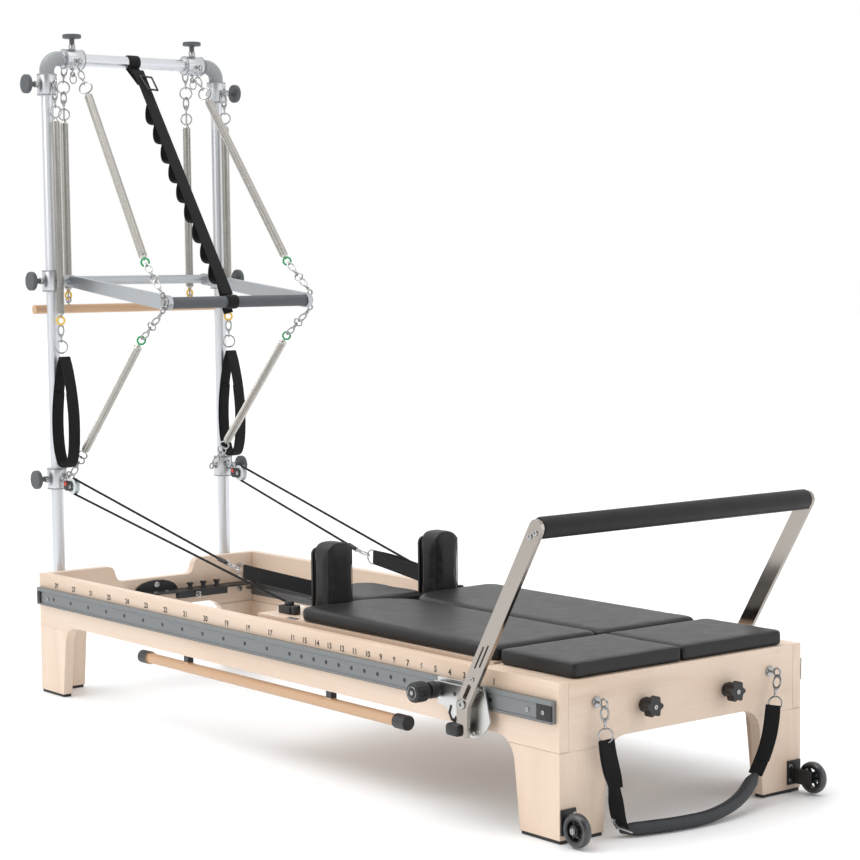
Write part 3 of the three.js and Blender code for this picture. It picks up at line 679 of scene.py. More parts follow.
def make_ropes():
    for name, side in SIDES:
        y = side * POST_Y
        wrap = [
            (PULLEY.x + 0.0233 * math.cos(a), y, PULLEY.z + 0.0233 * math.sin(a))
            for a in (math.radians(257 - 15 * k) for k in range(13))
        ]
        if side > 0:
            wrap.reverse()
        points = [Vector(p) for p in [(-0.028, side * 0.278, 0.398)] + wrap + [(-0.422, side * 0.230, 0.469)]]
        path = [points[0].lerp(points[1], t / 12) for t in range(12)] + points[1:-2]
        path += [points[-2].lerp(points[-1], t / 12) for t in range(13)]
        piece = rope_of(path, ROPE_RADIUS, 1)
        across_joint(piece, f"rope_cord_{name}", cord_black, [f"rope_{name}"])
        way = Vector((-0.422 + 0.530, side * (0.230 - 0.241), 0.469 - 0.495)).normalized()
        tip = Vector((-0.422, side * 0.230, 0.469))
        ferrule = rod(tip - way * 0.022, tip + way * 0.016, 0.0066, 16, 0.002)
        moulded([ferrule], f"rope_ferrule_{name}", "carriage")
        ring_at = Vector((-0.333, side * 0.229, 0.450))
        metalwork = snap_hook(ring_at + Vector((-0.010, 0, 0.002)), tip + way * 0.012, (0, 1, 0))
        metalwork.append(ring(ring_at + Vector((0.008, 0, -0.001)), 0.021, 0.0021, (0, 1, 0)))
        steel(metalwork, f"hand_strap_ring_{name}", "carriage")
        inner = side * 0.180
        hand = strap_of(
            [(-0.318, side * 0.229, 0.449), (-0.25, side * 0.221, 0.444), (-0.12, side * 0.203, 0.4345),
             (-0.03, side * 0.189, 0.4280), (0.000, inner, 0.4265)],
            (0, 0, 1), 0.042, 0.0042,
        )
        back = strap_of(
            [(-0.318, side * 0.231, 0.450), (-0.22, side * 0.229, 0.446), (-0.10, side * 0.214, 0.437),
             (-0.02, side * 0.199, 0.4300), (0.001, side * 0.188, 0.428)],
            (0, 0, 1), 0.040, 0.003,
        )
        keep(one_piece([hand, back]), f"hand_strap_{name}", webbing, "carriage")


make_ropes()

# ---------------------------------------------------------------- tower springs

COIL, WIRE, PITCH = 0.0132, 0.0014, 0.0031


def chain(points):
    """Hooks and rings that hang one from the next, from a list of (kind, start, end)."""
    made = []
    for kind, start, end in points:
        start, end = Vector(start), Vector(end)
        if kind == "hook":
            made += snap_hook(start, end)
        else:
            way, radius = (end - start).normalized(), (end - start).length / 2
            face = way.cross(Vector((0.78, -0.62, 0))).cross(way)
            made.append(ring((start + end) / 2, radius, 0.0024, face, 1.0, way))
    return one_piece(made)


def spring_between(name, start, end, first, last, bodies=None, hides=()):
    """A coil with a plain hook at each end, between two points, leaving room for the rings."""
    start, end = Vector(start), Vector(end)
    way = (end - start).normalized()
    a, b = start + way * first, end - way * last
    wound = coil(a, b, COIL, WIRE, PITCH)
    outs = ((a, -way), (b, way))
    caps = [rod(p, p + d * 0.010, COIL - 0.001, 16, 0.0015, 0.004) for p, d in outs]
    ends = [rod(p, p + d * 0.016, 0.002, 10, 0.0004) for p, d in outs]
    piece = one_piece([wound] + caps + ends)
    if bodies:
        across_joint(piece, name, spring_steel, hides)
    else:
        keep(piece, name, spring_steel, "frame", hides)


def colored_ring(name, at, material, body, normal=(0.78, -0.62, 0.1)):
    keep(ring(at, 0.0115, 0.0030, normal), name, material, body)


def make_push_bar_springs():
    for name, side in SIDES:
        top = Vector((-1.203, side * 0.212, 1.911))
        meet_up, meet_low = Vector((-0.775, side * 0.254, 1.322)), Vector((-0.794, side * 0.261, 1.092))
        foot = Vector((-1.222, side * 0.262, 0.664))
        tip_up, tip_low = Vector((-0.668, side * 0.263, 1.229)), Vector((-0.668, side * 0.263, 1.178))
        bodies, hidden = ("frame", "push_bar"), [f"push_bar_springs_{name}"]
        spring_between(f"push_bar_upper_spring_{name}", top, meet_up, 0.100, 0.022, bodies, hidden)
        spring_between(f"push_bar_lower_spring_{name}", foot, meet_low, 0.118, 0.030, bodies)
        down, up = (meet_up - top).normalized(), (meet_low - foot).normalized()
        upper = chain([("hook", top, top + down * 0.052), ("ring", top + down * 0.048, top + down * 0.088)])
        steel([upper], f"push_bar_upper_hook_{name}", "frame")
        lower = [("hook", foot, foot + up * 0.060)]
        lower += [("ring", foot + up * a, foot + up * (a + 0.028)) for a in (0.056, 0.080)]
        steel([chain(lower)], f"push_bar_lower_hook_{name}", "frame")
        links = [("hook", meet_up, tip_up, 0.06, 0.46), ("ring", meet_up, tip_up, 0.43, 0.60),
                 ("hook", meet_up, tip_up, 0.57, 0.95), ("hook", meet_low, tip_low, 0.06, 0.44),
                 ("ring", meet_low, tip_low, 0.41, 0.58), ("hook", meet_low, tip_low, 0.55, 0.95)]
        bar_ends = chain([(kind, a.lerp(b, start), a.lerp(b, end)) for kind, a, b, start, end in links])
        stub = rod((-0.666, side * 0.256, PUSH_Z), (-0.666, side * 0.2665, PUSH_Z), 0.0085, 20, 0.001)
        eyes = [ring((-0.668, side * 0.263, z), 0.0075, 0.0027, (1, 0, 0)) for z in (1.226, 1.181)]
        steel([bar_ends, stub] + eyes, f"push_bar_end_hooks_{name}", "push_bar")
        colored_ring(f"push_bar_upper_green_ring_{name}", meet_up, green_ring, "push_bar")
        colored_ring(f"push_bar_lower_green_ring_{name}", meet_low, green_ring, "push_bar")


make_push_bar_springs()

# A hand loop's outline: how far it bulges from its middle, and height.
LOOP = ((0, 1.035), (-0.016, 0.995), (-0.033, 0.925), (-0.043, 0.845), (-0.040, 0.765), (-0.024, 0.710),
        (0, 0.694), (0.026, 0.706), (0.041, 0.755), (0.044, 0.845), (0.034, 0.925), (0.017, 0.995), (0.002, 1.035))


def make_arm_springs():
    for name, side in SIDES:
        y = side * POST_Y
        at = lambda z: (-1.190, y, z)
        hidden = [f"arm_springs_{name}"]
        spring_between(f"arm_spring_{name}", at(1.786), at(1.150), 0.034, 0.018, hides=hidden)
        hung = chain([("hook", (-1.196, y, 1.858), at(1.795)), ("ring", at(1.799), at(1.765)),
                      ("hook", at(1.132), at(1.080)), ("ring", at(1.084), at(1.046))])
        steel([hung], f"arm_spring_hooks_{name}", "frame")
        colored_ring(f"arm_spring_yellow_ring_{name}", at(1.146), yellow_ring, "frame")
        lie = Vector((0.99, 0.12, 0))
        mid = Vector((-1.177, side * 0.306, 0))
        across = lie.cross(Vector((0, 0, 1)))
        inner = [(a * 0.86, z * 0.97 + 0.026) for a, z in LOOP[2:-2]]
        loop, lining = (
            strap_of([mid + lie * a + Vector((0, 0, z)) for a, z in shape], across, width, thick, 5)
            for shape, width, thick in ((LOOP, 0.040, 0.0035), (inner, 0.036, 0.003))
        )
        keep(one_piece([loop, lining]), f"hand_loop_{name}", webbing, "frame")


make_arm_springs()


def make_roll_down_springs():
    for name, side in SIDES:
        at = lambda z: (-1.288, side * 0.224, z)
        spring_between(f"roll_down_spring_{name}", at(1.790), at(1.226), 0.036, 0.018, ("frame", "roll_down_bar"))
        top = chain([("hook", (-1.284, side * 0.220, 1.936), at(1.880)), ("ring", at(1.884), at(1.846)),
                     ("hook", at(1.850), at(1.795)), ("ring", at(1.799), at(1.765))])
        steel([top], f"roll_down_hooks_{name}", "frame")
        bolt = one_piece(eye_bolt(at(1.190), (0, 0, 1), 0.018))
        steel([bolt], f"roll_down_eye_{name}", "roll_down_bar")
        colored_ring(f"roll_down_yellow_ring_{name}", at(1.222), yellow_ring, "roll_down_bar", (1, 0.2, 0))


make_roll_down_springs()

# ---------------------------------------------------------------- safety strap

STRAP_LOOPS = 9


def square_buckle(at, across, down, half_across, half_down, wire):
    outline = ((-1, -1), (1, -1), (0.8, 1), (-0.8, 1))
    corners = [at + across * a * half_across + down * b * half_down for a, b in outline]
    return [
        rod(a - (b - a).normalized() * wire * 0.8, b + (b - a).normalized() * wire * 0.8, wire, 12, wire * 0.6)
        for a, b in zip(corners, corners[1:] + corners[:1])
    ]


def make_safety_strap():
    top, low = Vector((-1.212, -0.005, 1.938)), Vector((-0.679, -0.030, 1.226))
    way = (low - top).normalized()
    under = way.cross(Vector((0, 1, 0))).normalized()
    if under.z > 0:
        under = -under
    main = strap_of([top + way * 0.02, top.lerp(low, 0.5), low], (0, 1, 0), 0.038, 0.003, 12)
    first, span = 0.16, (low - top).length - 0.20
    ripple = []
    for i in range(STRAP_LOOPS * 8 + 1):
        along = first + span * i / (STRAP_LOOPS * 8)
        swell = abs(math.sin(math.pi * i / 8))
        ripple.append(top + way * along + under * (0.003 + 0.030 * swell**0.8))
    loops = strap_of(ripple, (0, 1, 0), 0.038, 0.0026, 2)
    bar = Vector((POST_X, -0.005, BAR_Z))
    round_bar = [
        bar + Vector((math.cos(a) * 0.0215, 0, math.sin(a) * 0.0215))
        for a in (math.radians(-60 + 22 * k) for k in range(13))
    ]
    wrap = strap_of([top + way * 0.055] + round_bar + [top + way * 0.075 + under * 0.006], (0, 1, 0), 0.038, 0.003, 3)
    grip = Vector((PUSH_X, -0.030, PUSH_Z))
    round_grip = [
        grip + Vector((math.cos(a) * 0.0195, 0, math.sin(a) * 0.0195))
        for a in (math.radians(150 - 25 * k) for k in range(13))
    ]
    foot = strap_of([low - way * 0.03] + round_grip + [low - way * 0.045 + under * 0.005], (0, 1, 0), 0.038, 0.003, 3)
    hang = [grip + Vector(d) for d in ((-0.018, 0, -0.005), (-0.017, 0, -0.022), (-0.014, 0.002, -0.034))]
    tail = strap_of(hang, (0, 1, 0), 0.034, 0.003, 3)
    piece = one_piece([main, loops, wrap, foot, tail])
    across_joint(piece, "safety_strap_webbing", webbing,
                 ["safety_strap"])
    across = Vector((0.10, 0.99, -0.08)).normalized()
    down = (way + Vector((0.12, 0, 0.10))).normalized()
    at = top + way * 0.078 + Vector((0.010, 0.014, 0.004))
    buckle = square_buckle(at, across, down, 0.020, 0.031, 0.0030)
    moulded(buckle, "safety_strap_buckle", "frame")


make_safety_strap()

# ---------------------------------------------------------------- foot strap


def make_foot_strap():
    near_web = strap_of(
        [(1.236, -0.292, 0.232), (1.237, -0.287, 0.195), (1.238, -0.277, 0.155), (1.239, -0.268, 0.118),
         (1.240, -0.263, 0.080), (1.241, -0.256, 0.045), (1.243, -0.246, 0.020)],
        [(0.35, 0.94, 0), (0.4, 0.9, 0.1), (0.7, 0.6, 0.1), (0.95, 0.1, 0.1), (0.8, 0.5, 0.1), (0.9, 0.4, 0.1),
         (1, 0.2, 0)],
        0.036, 0.003, 6,
    )
    second = strap_of(
        [(1.239, -0.289, 0.232), (1.242, -0.283, 0.190), (1.243, -0.273, 0.150), (1.243, -0.267, 0.120)],
        [(0.35, 0.94, 0), (0.4, 0.9, 0.1), (0.6, 0.7, 0.1), (0.8, 0.4, 0.1)], 0.034, 0.0026, 6,
    )
    far_web = strap_of(
        [(1.236, 0.262, 0.238), (1.238, 0.255, 0.205), (1.240, 0.245, 0.170), (1.243, 0.228, 0.135),
         (1.245, 0.208, 0.105), (1.246, 0.190, 0.080)],
        (0.80, 0.55, 0.25), 0.036, 0.003, 6,
    )
    far_second = strap_of(
        [(1.241, 0.259, 0.238), (1.244, 0.252, 0.204), (1.246, 0.241, 0.168), (1.248, 0.225, 0.135),
         (1.249, 0.212, 0.113)],
        (0.80, 0.55, 0.25), 0.034, 0.003, 6,
    )
    webs = one_piece([near_web, second, far_web, far_second])
    keep(webs, "foot_strap_webbing", webbing, "frame", ["foot_strap"])
    rounded_end = lambda t: 0.0155 * min(1.0, (0.45 + 7 * t) ** 0.7, (0.45 + 7 * (1 - t)) ** 0.7)
    tube = rope_of(
        [(1.243, -0.252, 0.019), (1.257, -0.205, 0.017), (1.272, -0.145, 0.0168), (1.2815, -0.085, 0.0166),
         (1.285, -0.025, 0.0170), (1.284, 0.025, 0.0215), (1.277, 0.080, 0.031), (1.266, 0.125, 0.044),
         (1.254, 0.160, 0.060), (1.246, 0.190, 0.078)],
        rounded_end, 6, 16, (0, 0, 1), 1.08,
    )
    seam = rope_of(
        [(1.252, -0.235, 0.0325), (1.268, -0.180, 0.0335), (1.283, -0.115, 0.0335), (1.290, -0.030, 0.0335),
         (1.288, 0.040, 0.0400), (1.276, 0.105, 0.0560), (1.258, 0.160, 0.0790)], 0.0011, 6, 6, (0, 0, 1),
    )
    keep(one_piece([tube, seam]), "foot_strap_tube", foot_sleeve, "frame")
    across, down = Vector((0.45, 0.80, -0.38)).normalized(), Vector((0.55, -0.05, -0.55)).normalized()
    buckle = square_buckle(Vector((1.246, -0.248, 0.027)), across, down, 0.022, 0.011, 0.0022)
    steel(buckle, "foot_strap_buckle", "frame")


make_foot_strap()

# ---------------------------------------------------------------- upholstered pads

PAD_GRID = 0.005


def cushion_blank(first, second, corners, along="Z", rim=0.009):
    """Block with its own radius at each long corner, keyed by the sides of the two other axes."""
    low, high = box_ends(first, second)
    bpy.ops.mesh.primitive_cube_add(size=1, location=(low + high) / 2, scale=high - low)
    piece = set_in_place(bpy.context.object)
    middle = (low + high) / 2
    axes = [i for i in range(3) if "XYZ"[i] != along]
    for sides, radius in corners.items():
        only(piece)
        bpy.ops.object.mode_set(mode="EDIT")
        bpy.ops.mesh.select_mode(type="EDGE")
        bpy.ops.mesh.select_all(action="DESELECT")
        bpy.ops.object.mode_set(mode="OBJECT")
        for edge in piece.data.edges:
            ends = [piece.data.vertices[i].co - middle for i in edge.vertices]
            extent = (high - low) / 2
            edge.select = all(abs(p[a] - s * extent[a]) < 1e-5 for p in ends for a, s in zip(axes, sides))
        bpy.ops.object.mode_set(mode="EDIT")
        bpy.ops.mesh.bevel(offset=radius, segments=max(4, int(radius / 0.006)), affect="EDGES")
        bpy.ops.object.mode_set(mode="OBJECT")
    return eased(piece, rim, 4)


def fill_with_foam(pads, caps, floors):
    """Blows each cover up a little over its foam, all together, and keeps the result."""
    rests = []
    for pad in pads:
        remesh = pad.modifiers.new("even_grid", "REMESH")
        remesh.mode, remesh.voxel_size = "VOXEL", PAD_GRID
        set_in_place(pad)
        rests.append([v.co.copy() for v in pad.data.vertices])
    for pad in pads:
        cloth = pad.modifiers.new("cover", "CLOTH").settings
        cloth.use_pressure = True
        cloth.uniform_pressure_force = 4
        cloth.effector_weights.gravity = 0
        cloth.quality = 4
    for step in range(1, 19):
        bpy.context.scene.frame_set(step)
    graph = bpy.context.evaluated_depsgraph_get()
    for pad, rest, cap, floor in zip(pads, rests, caps, floors):
        blown = [v.co.copy() for v in pad.evaluated_get(graph).data.vertices]
        pad.modifiers.clear()
        for vertex, old, new in zip(pad.data.vertices, rest, blown):
            move = new - old
            if move.length > cap:
                move = move.normalized() * cap
            vertex.co = old + move
            if floor is not None:
                vertex.co.z = max(vertex.co.z, floor)
    bpy.context.scene.frame_set(1)
    for pad in pads:
        smooth = pad.modifiers.new("relax", "SMOOTH")
        smooth.factor, smooth.iterations = 0.5, 3
        finer = pad.modifiers.new("finer", "SUBSURF")
        finer.levels = finer.render_levels = 1
        set_in_place(pad)


def seam_line(name, points, body, radius=0.0009, cushion=None):
    path = [Vector(p) for p in points]
    if cushion:
        cover = bpy.data.objects[cushion]
        path = [cover.closest_point_on_mesh(p)[1] for p in path]
    thread = rope_of(path, radius, 2, 6, (0.13, 0.27, 0.95))
    return keep(thread, name, leather_side, body)


def make_pads():
    jobs = []
    for name, side in SIDES:
        inner, outer = -side, side
        corners = {(-1, inner): 0.132, (1, inner): 0.026, (1, outer): 0.022, (-1, outer): 0.036}
        blank = cushion_blank(
            (0.0925, side * 0.0012, PAD_LOW), (0.910, side * 0.340, 0.4050), corners, rim=0.006
        )
        hidden = [f"carriage_pad_{name}"]
        jobs.append((blank, f"carriage_cushion_{name}", "carriage", hidden, 0.0038, PAD_LOW))
        corners = {(-1, inner): 0.006, (1, inner): 0.006, (1, outer): 0.014, (-1, outer): 0.014}
        blank = cushion_blank(
            (0.927, side * 0.0002, 0.3705), (1.1915, side * 0.3485, 0.4055), corners, rim=0.0035
        )
        jobs.append((blank, f"platform_cushion_{name}", "frame", ["platform_pad"], 0.0024, 0.3705))
        corners = {(inner, 1): 0.034, (outer, 1): 0.034}
        blank = cushion_blank(
            (0.013, side * 0.140, PAD_LOW), (0.0855, side * 0.228, 0.5655), corners, "X", 0.013
        )
        rest = f"shoulder_rest_{name}"
        jobs.append((blank, f"shoulder_cushion_{name}", rest, [rest], 0.0032, PAD_LOW))
    corners = {(-1, -1): 0.045, (-1, 1): 0.045, (1, -1): 0.028, (1, 1): 0.028}
    blank = cushion_blank((-0.187, -0.112, 0.3780), (0.083, 0.112, 0.4020), corners)
    jobs.append((blank, "headrest_cushion", "headrest", ["headrest"], 0.0034, 0.3775))
    fill_with_foam([j[0] for j in jobs], [j[4] for j in jobs], [j[5] for j in jobs])
    for piece, name, body, hidden, _, _ in jobs:
        keep(piece, name, leather, body, hidden, 50)
    board = block((-0.183, -0.108, 0.3722), (0.080, 0.108, 0.3782), 0.0015)
    moulded([board], "headrest_board", "headrest")


make_pads()


def make_shoulder_rest_trim():
    for name, side in SIDES:
        middle = side * 0.184
        body = f"shoulder_rest_{name}"
        half, top, round_off = 0.0445, 0.5675, 0.034
        for where, x in (("front", 0.0840), ("back", 0.0155)):
            line = [(x, middle - half, 0.380)]
            line += [
                (x, middle + dy + round_off * math.cos(a), top - round_off + round_off * math.sin(a))
                for dy, start in ((-half + round_off, 180), (half - round_off, 90))
                for a in (math.radians(start - 15 * k) for k in range(7))
            ]
            line += [(x, middle + half, 0.380)]
            seam_line(f"shoulder_seam_{where}_{name}", line, body, 0.0012, f"shoulder_cushion_{name}")
        low, high = (0.0045, middle - 0.043, 0.3725), (0.0125, middle + 0.043, 0.548)
        plate = cushion_blank(low, high, {(-1, 1): 0.018, (1, 1): 0.018}, "X", 0.0012)
        moulded([plate], f"shoulder_back_plate_{name}", body)
        peg = rod((0.050, middle, 0.3225), (0.050, middle, 0.3735), 0.0079, 20, 0.0012)
        steel([peg], f"shoulder_peg_{name}", body)


make_shoulder_rest_trim()


def make_grips():
    grip = rod((FOOTBAR_X, -0.4395, FOOTBAR_Z), (FOOTBAR_X, 0.4395, FOOTBAR_Z), 0.0252, 40, 0.007)
    keep(grip, "footbar_foam_grip", leather_side, "footbar", ["footbar_grip"])
    under_grip = [(FOOTBAR_X + 0.0178, y / 100, FOOTBAR_Z - 0.0180) for y in range(-43, 44, 2)]
    seam_line("footbar_grip_seam", under_grip, "footbar", 0.0008)
    tube = rod((PUSH_X, -0.252, PUSH_Z), (PUSH_X, 0.252, PUSH_Z), 0.0172, 32, 0.002)
    keep(tube, "push_bar_sleeve", sleeve, "push_bar", ["push_bar_grip"])
    for name, side in SIDES:
        cap = rod((PUSH_X, side * 0.2515, PUSH_Z), (PUSH_X, side * 0.2605, PUSH_Z), 0.0176, 32, 0.0022)
        steel([cap], f"push_bar_end_cap_{name}", "push_bar")


make_grips()

# ---------------------------------------------------------------- rails, numbers and screws


def make_rail_details():
    places = [0.974 - 0.0542 * n for n in range(16)]
    places += [places[-1] - 0.1044 * n for n in range(1, 13)]
    for name, side in SIDES:
        face = side * 0.411
        # Black discs over the rail's holes: painted shade inside the holes.
        holes = [
            rod((x, face - side * 0.001, 0.300), (x, face + side * 0.0003, 0.300), 0.0056, 16, 0) for x in places
        ]
        moulded(holes, f"rail_holes_{name}", "frame")
        digits = []
        for n, x in enumerate(places, 1):
            turn = (math.pi / 2, 0, 0 if side < 0 else math.pi)
            bpy.ops.object.text_add(location=(x, side * 0.4003, 0.3345), rotation=turn)
            text = bpy.context.object
            text.data.body, text.data.size, text.data.align_x = str(n), 0.021, "CENTER"
            text.data.extrude, text.data.offset = 0.0001, 0.0005
            bpy.ops.object.convert(target="MESH")
            digits.append(set_in_place(bpy.context.object))
        keep(one_piece(digits), f"rail_numbers_{name}", ink_and_hole_shade, "frame", smooth=0)
        low_y, high_y = side * 0.4115, side * 0.4158
        stop = block((1.138, low_y, 0.2810), (1.1895, high_y, 0.3185), 0.006)
        head_stop = block((-1.1900, low_y, 0.2815), (-1.170, high_y, 0.3165), 0.003)
        moulded([stop, head_stop], f"rail_end_blocks_{name}", "frame")
        screws = [
            dome_screw((1.104, face, 0.298), (0, side, 0), 0.0062),
            dome_screw((1.163, side * 0.4158, 0.300), (0, side, 0), 0.0055, 0.0018),
            dome_screw((-1.130, face, 0.298), (0, side, 0), 0.0062),
        ]
        steel(screws, f"rail_screws_{name}", "frame")
        # A thin black strip under each rail: painted shadow of the rail's lower lip, not a real part.
        lip = block((-1.19, side * 0.4016, 0.2762), (1.19, side * 0.4150, 0.2772), 0.0003)
        moulded([lip], f"rail_painted_shadow_strip_{name}", "frame")


make_rail_details()


def make_foot_fittings():
    for name, side in SIDES:
        at = Vector((1.2003, side * 0.287, 0.313))
        drop = side * (0.291 if side < 0 else 0.270)
        bolt = eye_bolt(at, (1, 0, 0), 0.026, 0.0105)
        bolt.append(rod(at, at + Vector((0.004, 0, 0)), 0.0135, 24, 0.0015))
        hook = snap_hook((1.2285, side * 0.288, 0.305), (1.234, drop, 0.258), (0.6, 0.8, 0))
        ring_piece = ring((1.236, drop, 0.2415), 0.0165, 0.0021, (0.78, -0.62, 0), 1.0, (0, 0, 1))
        steel(bolt + hook + [ring_piece], f"foot_eyebolt_{name}", "frame")
        centre = Vector((1.2403, side * 0.137, 0.287))
        screw = dome_screw(centre, (1, 0, 0), 0.0058, 0.0016)
        steel([screw], f"star_knob_screw_{name}", f"star_knob_{name}")


make_foot_fittings()

# ---------------------------------------------------------------- footbar hardware


# Each slot in an arm: its start and end up the arm, its place across it and half its width.
ARM_SLOTS = ((0.105, 0.165, -0.006, 0.0022), (0.118, 0.178, 0.006, 0.0022), (0.022, 0.052, 0.0, 0.0062))


def make_footbar_hardware():
    pivot, lean = Vector((0.916, 0, 0.286)), Vector((262, 0, 436)).normalized()
    cross = Vector((lean.z, 0, -lean.x))
    for name, side in SIDES:
        face = Vector((0, side * 0.4502, 0))
        out = Vector((0, side, 0))
        on_arm = lambda up, off=0.0: pivot + face + lean * up + cross * off
        screws = [
            dome_screw(on_arm(0.500, 0.006), out, 0.0075), dome_screw(on_arm(0.483, -0.005), out, 0.0075),
            dome_screw(on_arm(0.075), out, 0.0062), dome_screw(pivot + face, out, 0.0125, 0.004),
        ]
        steel(screws, f"footbar_screws_{name}", "footbar")
        # Dark flat marks over the arm's slots: painted shade inside the slots.
        slots = []
        for start, end, off, half in ARM_SLOTS:
            a, b = on_arm(start, off), on_arm(end, off)
            ends = [rod(p - out * 0.0008, p + out * 0.00035, half, 16, 0) for p in (a, b)]
            bpy.ops.mesh.primitive_cube_add(size=1, location=(0, 0, 0), scale=(half * 2, 0.00115, (b - a).length))
            bar = set_in_place(bpy.context.object)
            bar.matrix_world = Matrix.Translation((a + b) / 2 - out * 0.00022) @ toward(b - a).to_matrix().to_4x4()
            slots += ends + [set_in_place(bar)]
        keep(one_piece(slots), f"footbar_slots_{name}", ink_and_hole_shade, "footbar")
        handle = block((0.8655, side * 0.4325, 0.2070), (0.9125, side * 0.4625, 0.2375), 0.0085)
        moulded([handle], f"footbar_tail_handle_{name}", "footbar")
        plate = Vector((0, side * 0.4272, 0))
        # Dark spots along the selector's J-slot, and a dark disc over its pin hole: painted shade inside them.
        j_slot = [(0.848, 0.268), (0.842, 0.252), (0.850, 0.238), (0.864, 0.236), (0.866, 0.246)]
        spots = [Vector((a[0], 0, a[1])).lerp(Vector((b[0], 0, b[1])), k / 4)
                 for a, b in zip(j_slot, j_slot[1:]) for k in range(4)]
        dots = [rod(plate + at - out * 0.0010, plate + at + out * 0.0002, 0.0042, 14, 0) for at in spots]
        keep(one_piece(dots), f"selector_slot_{name}", ink_and_hole_shade, "footbar_carrier")
        at = plate + Vector((0.862, 0, 0.300))
        hole = rod(at - out * 0.001, at + out * 0.0003, 0.0056, 16, 0)
        keep(hole, f"selector_pin_hole_{name}", ink_and_hole_shade, "footbar_carrier")
        screw = dome_screw(plate + Vector((0.945, 0, 0.318)), out, 0.0050)
        steel([screw], f"selector_screws_{name}", "footbar_carrier")


make_footbar_hardware()


def make_lock_knobs():
    for name, side in SIDES:
        at = lambda y: (0.800, side * y, 0.303)
        parts = [
            rod(at(0.4276), at(0.434), 0.0165, 28, 0.001),
            rod(at(0.433), at(0.458), 0.0205, 32, 0.0035),
            rod(at(0.457), at(0.468), 0.0150, 28, 0.0015),
            rod(at(0.467), at(0.507), 0.0236, 36, 0.0045),
        ]
        for k in range(18):
            a = math.tau * k / 18
            x, z = 0.800 + 0.0234 * math.cos(a), 0.303 + 0.0234 * math.sin(a)
            parts.append(rod((x, side * 0.472, z), (x, side * 0.502, z), 0.0013, 8, 0.0005))
        moulded(parts, f"lock_knob_turned_{name}", f"lock_knob_{name}", [f"lock_knob_{name}"])
        rim = ring(at(0.5072), 0.0150, 0.0008, (0, 1, 0), around=36)
        disc = rod(at(0.5062), at(0.5082), 0.0055, 20, 0.0005)
        steel([rim, disc], f"lock_knob_face_{name}", f"lock_knob_{name}")


make_lock_knobs()

# ---------------------------------------------------------------- transport wheels


# Outlines of a wheel's parts, as radius and height along the axle.
TYRE = ((0.0285, -0.0095), (0.0350, -0.0110), (0.0385, -0.0070), (0.0398, 0.0), (0.0385, 0.0070),
        (0.0350, 0.0110), (0.0285, 0.0095))
HUB = ((0.0058, -0.0115), (0.0135, -0.0115), (0.0140, -0.0040), (0.0140, 0.0040), (0.0135, 0.0115), (0.0058, 0.0115))
RIM = ((0.0245, -0.0090), (0.0288, -0.0100), (0.0288, 0.0100), (0.0245, 0.0090))


def turned(profile, centre):
    """A closed outline turned about the axle, which runs along Y through `centre`."""
    bpy.ops.mesh.primitive_circle_add(vertices=len(profile), location=(0, 0, 0))
    piece = bpy.context.object
    for vertex, (radius, height) in zip(piece.data.vertices, profile):
        vertex.co = (radius, height, 0)
    lathe = piece.modifiers.new("lathe", "SCREW")
    lathe.axis, lathe.angle, lathe.steps, lathe.render_steps = "Y", math.tau, 48, 48
    lathe.use_merge_vertices = False
    set_in_place(piece)
    piece.location = centre
    return outward(set_in_place(piece))


def make_wheels():
    for name, side in SIDES:
        centre = Vector((1.250, side * 0.392, 0.042))
        body = f"transport_wheel_{name}"
        keep(turned(TYRE, centre), f"wheel_tyre_{name}", wheel_grey, body, [body])
        spokes = [
            rod(centre + ray * 0.0125, centre + ray * 0.0262, 0.0042, 10, 0.0008)
            for ray in (Vector((math.cos(a), 0, math.sin(a))) for a in (math.tau * k / 6 for k in range(6)))
        ]
        moulded([turned(HUB, centre), turned(RIM, centre)] + spokes, f"wheel_hub_{name}", body)
        outer = side * 0.4042
        inside, outside = (centre.x, outer - side * 0.004, centre.z), (centre.x, outer + side * 0.0035, centre.z)
        bolt = [rod(inside, outside, 0.0085, 6, 0.0008), dome_screw(outside, (0, side, 0), 0.0060)]
        steel(bolt, f"wheel_bolt_{name}", "frame")
        bolts = [dome_screw((1.2042, side * 0.360, z), (1, 0, 0), 0.0052) for z in (0.033, 0.067)]
        steel(bolts, f"wheel_bracket_screws_{name}", "frame")


make_wheels()

# ---------------------------------------------------------------- tower fittings

LEVELS = (("low", 0.655), ("mid", 1.268), ("high", 1.867))


def make_elbows():
    for name, side in SIDES:
        bend = 0.040
        path = [(POST_X, side * POST_Y, 1.8998), (POST_X, side * POST_Y, 1.9080)]
        path += [
            (POST_X, side * (0.268 + bend * math.cos(a)), 1.908 + bend * math.sin(a))
            for a in (math.radians(10 * k) for k in range(1, 9))
        ]
        path += [(POST_X, side * 0.268, BAR_Z), (POST_X, side * 0.2602, BAR_Z)]
        casting = rope_of(path, 0.0226, 1, 28, (1, 0, 0))
        lips = [
            ring((POST_X, side * 0.2610, BAR_Z), 0.0212, 0.0020, (0, 1, 0), around=28),
            ring((POST_X, side * POST_Y, 1.9010), 0.0212, 0.0020, (0, 0, 1), around=28),
        ]
        keep(one_piece([casting] + lips), f"cast_elbow_{name}", cast_grey, "frame")


make_elbows()


def collar(name, at, along):
    """Machined sleeve over a CAD collar, with a rolled lip at each end."""
    at, along = Vector(at), Vector(along)
    tube = rod(at - along * 0.0322, at + along * 0.0322, 0.0303, 36, 0.0025)
    lips = [ring(at + along * d, 0.0290, 0.0023, along, around=36) for d in (-0.0305, 0.0305)]
    keep(tube, f"collar_{name}", alloy_collar, "frame")
    keep(one_piece(lips), f"collar_rims_{name}", cast_grey, "frame")


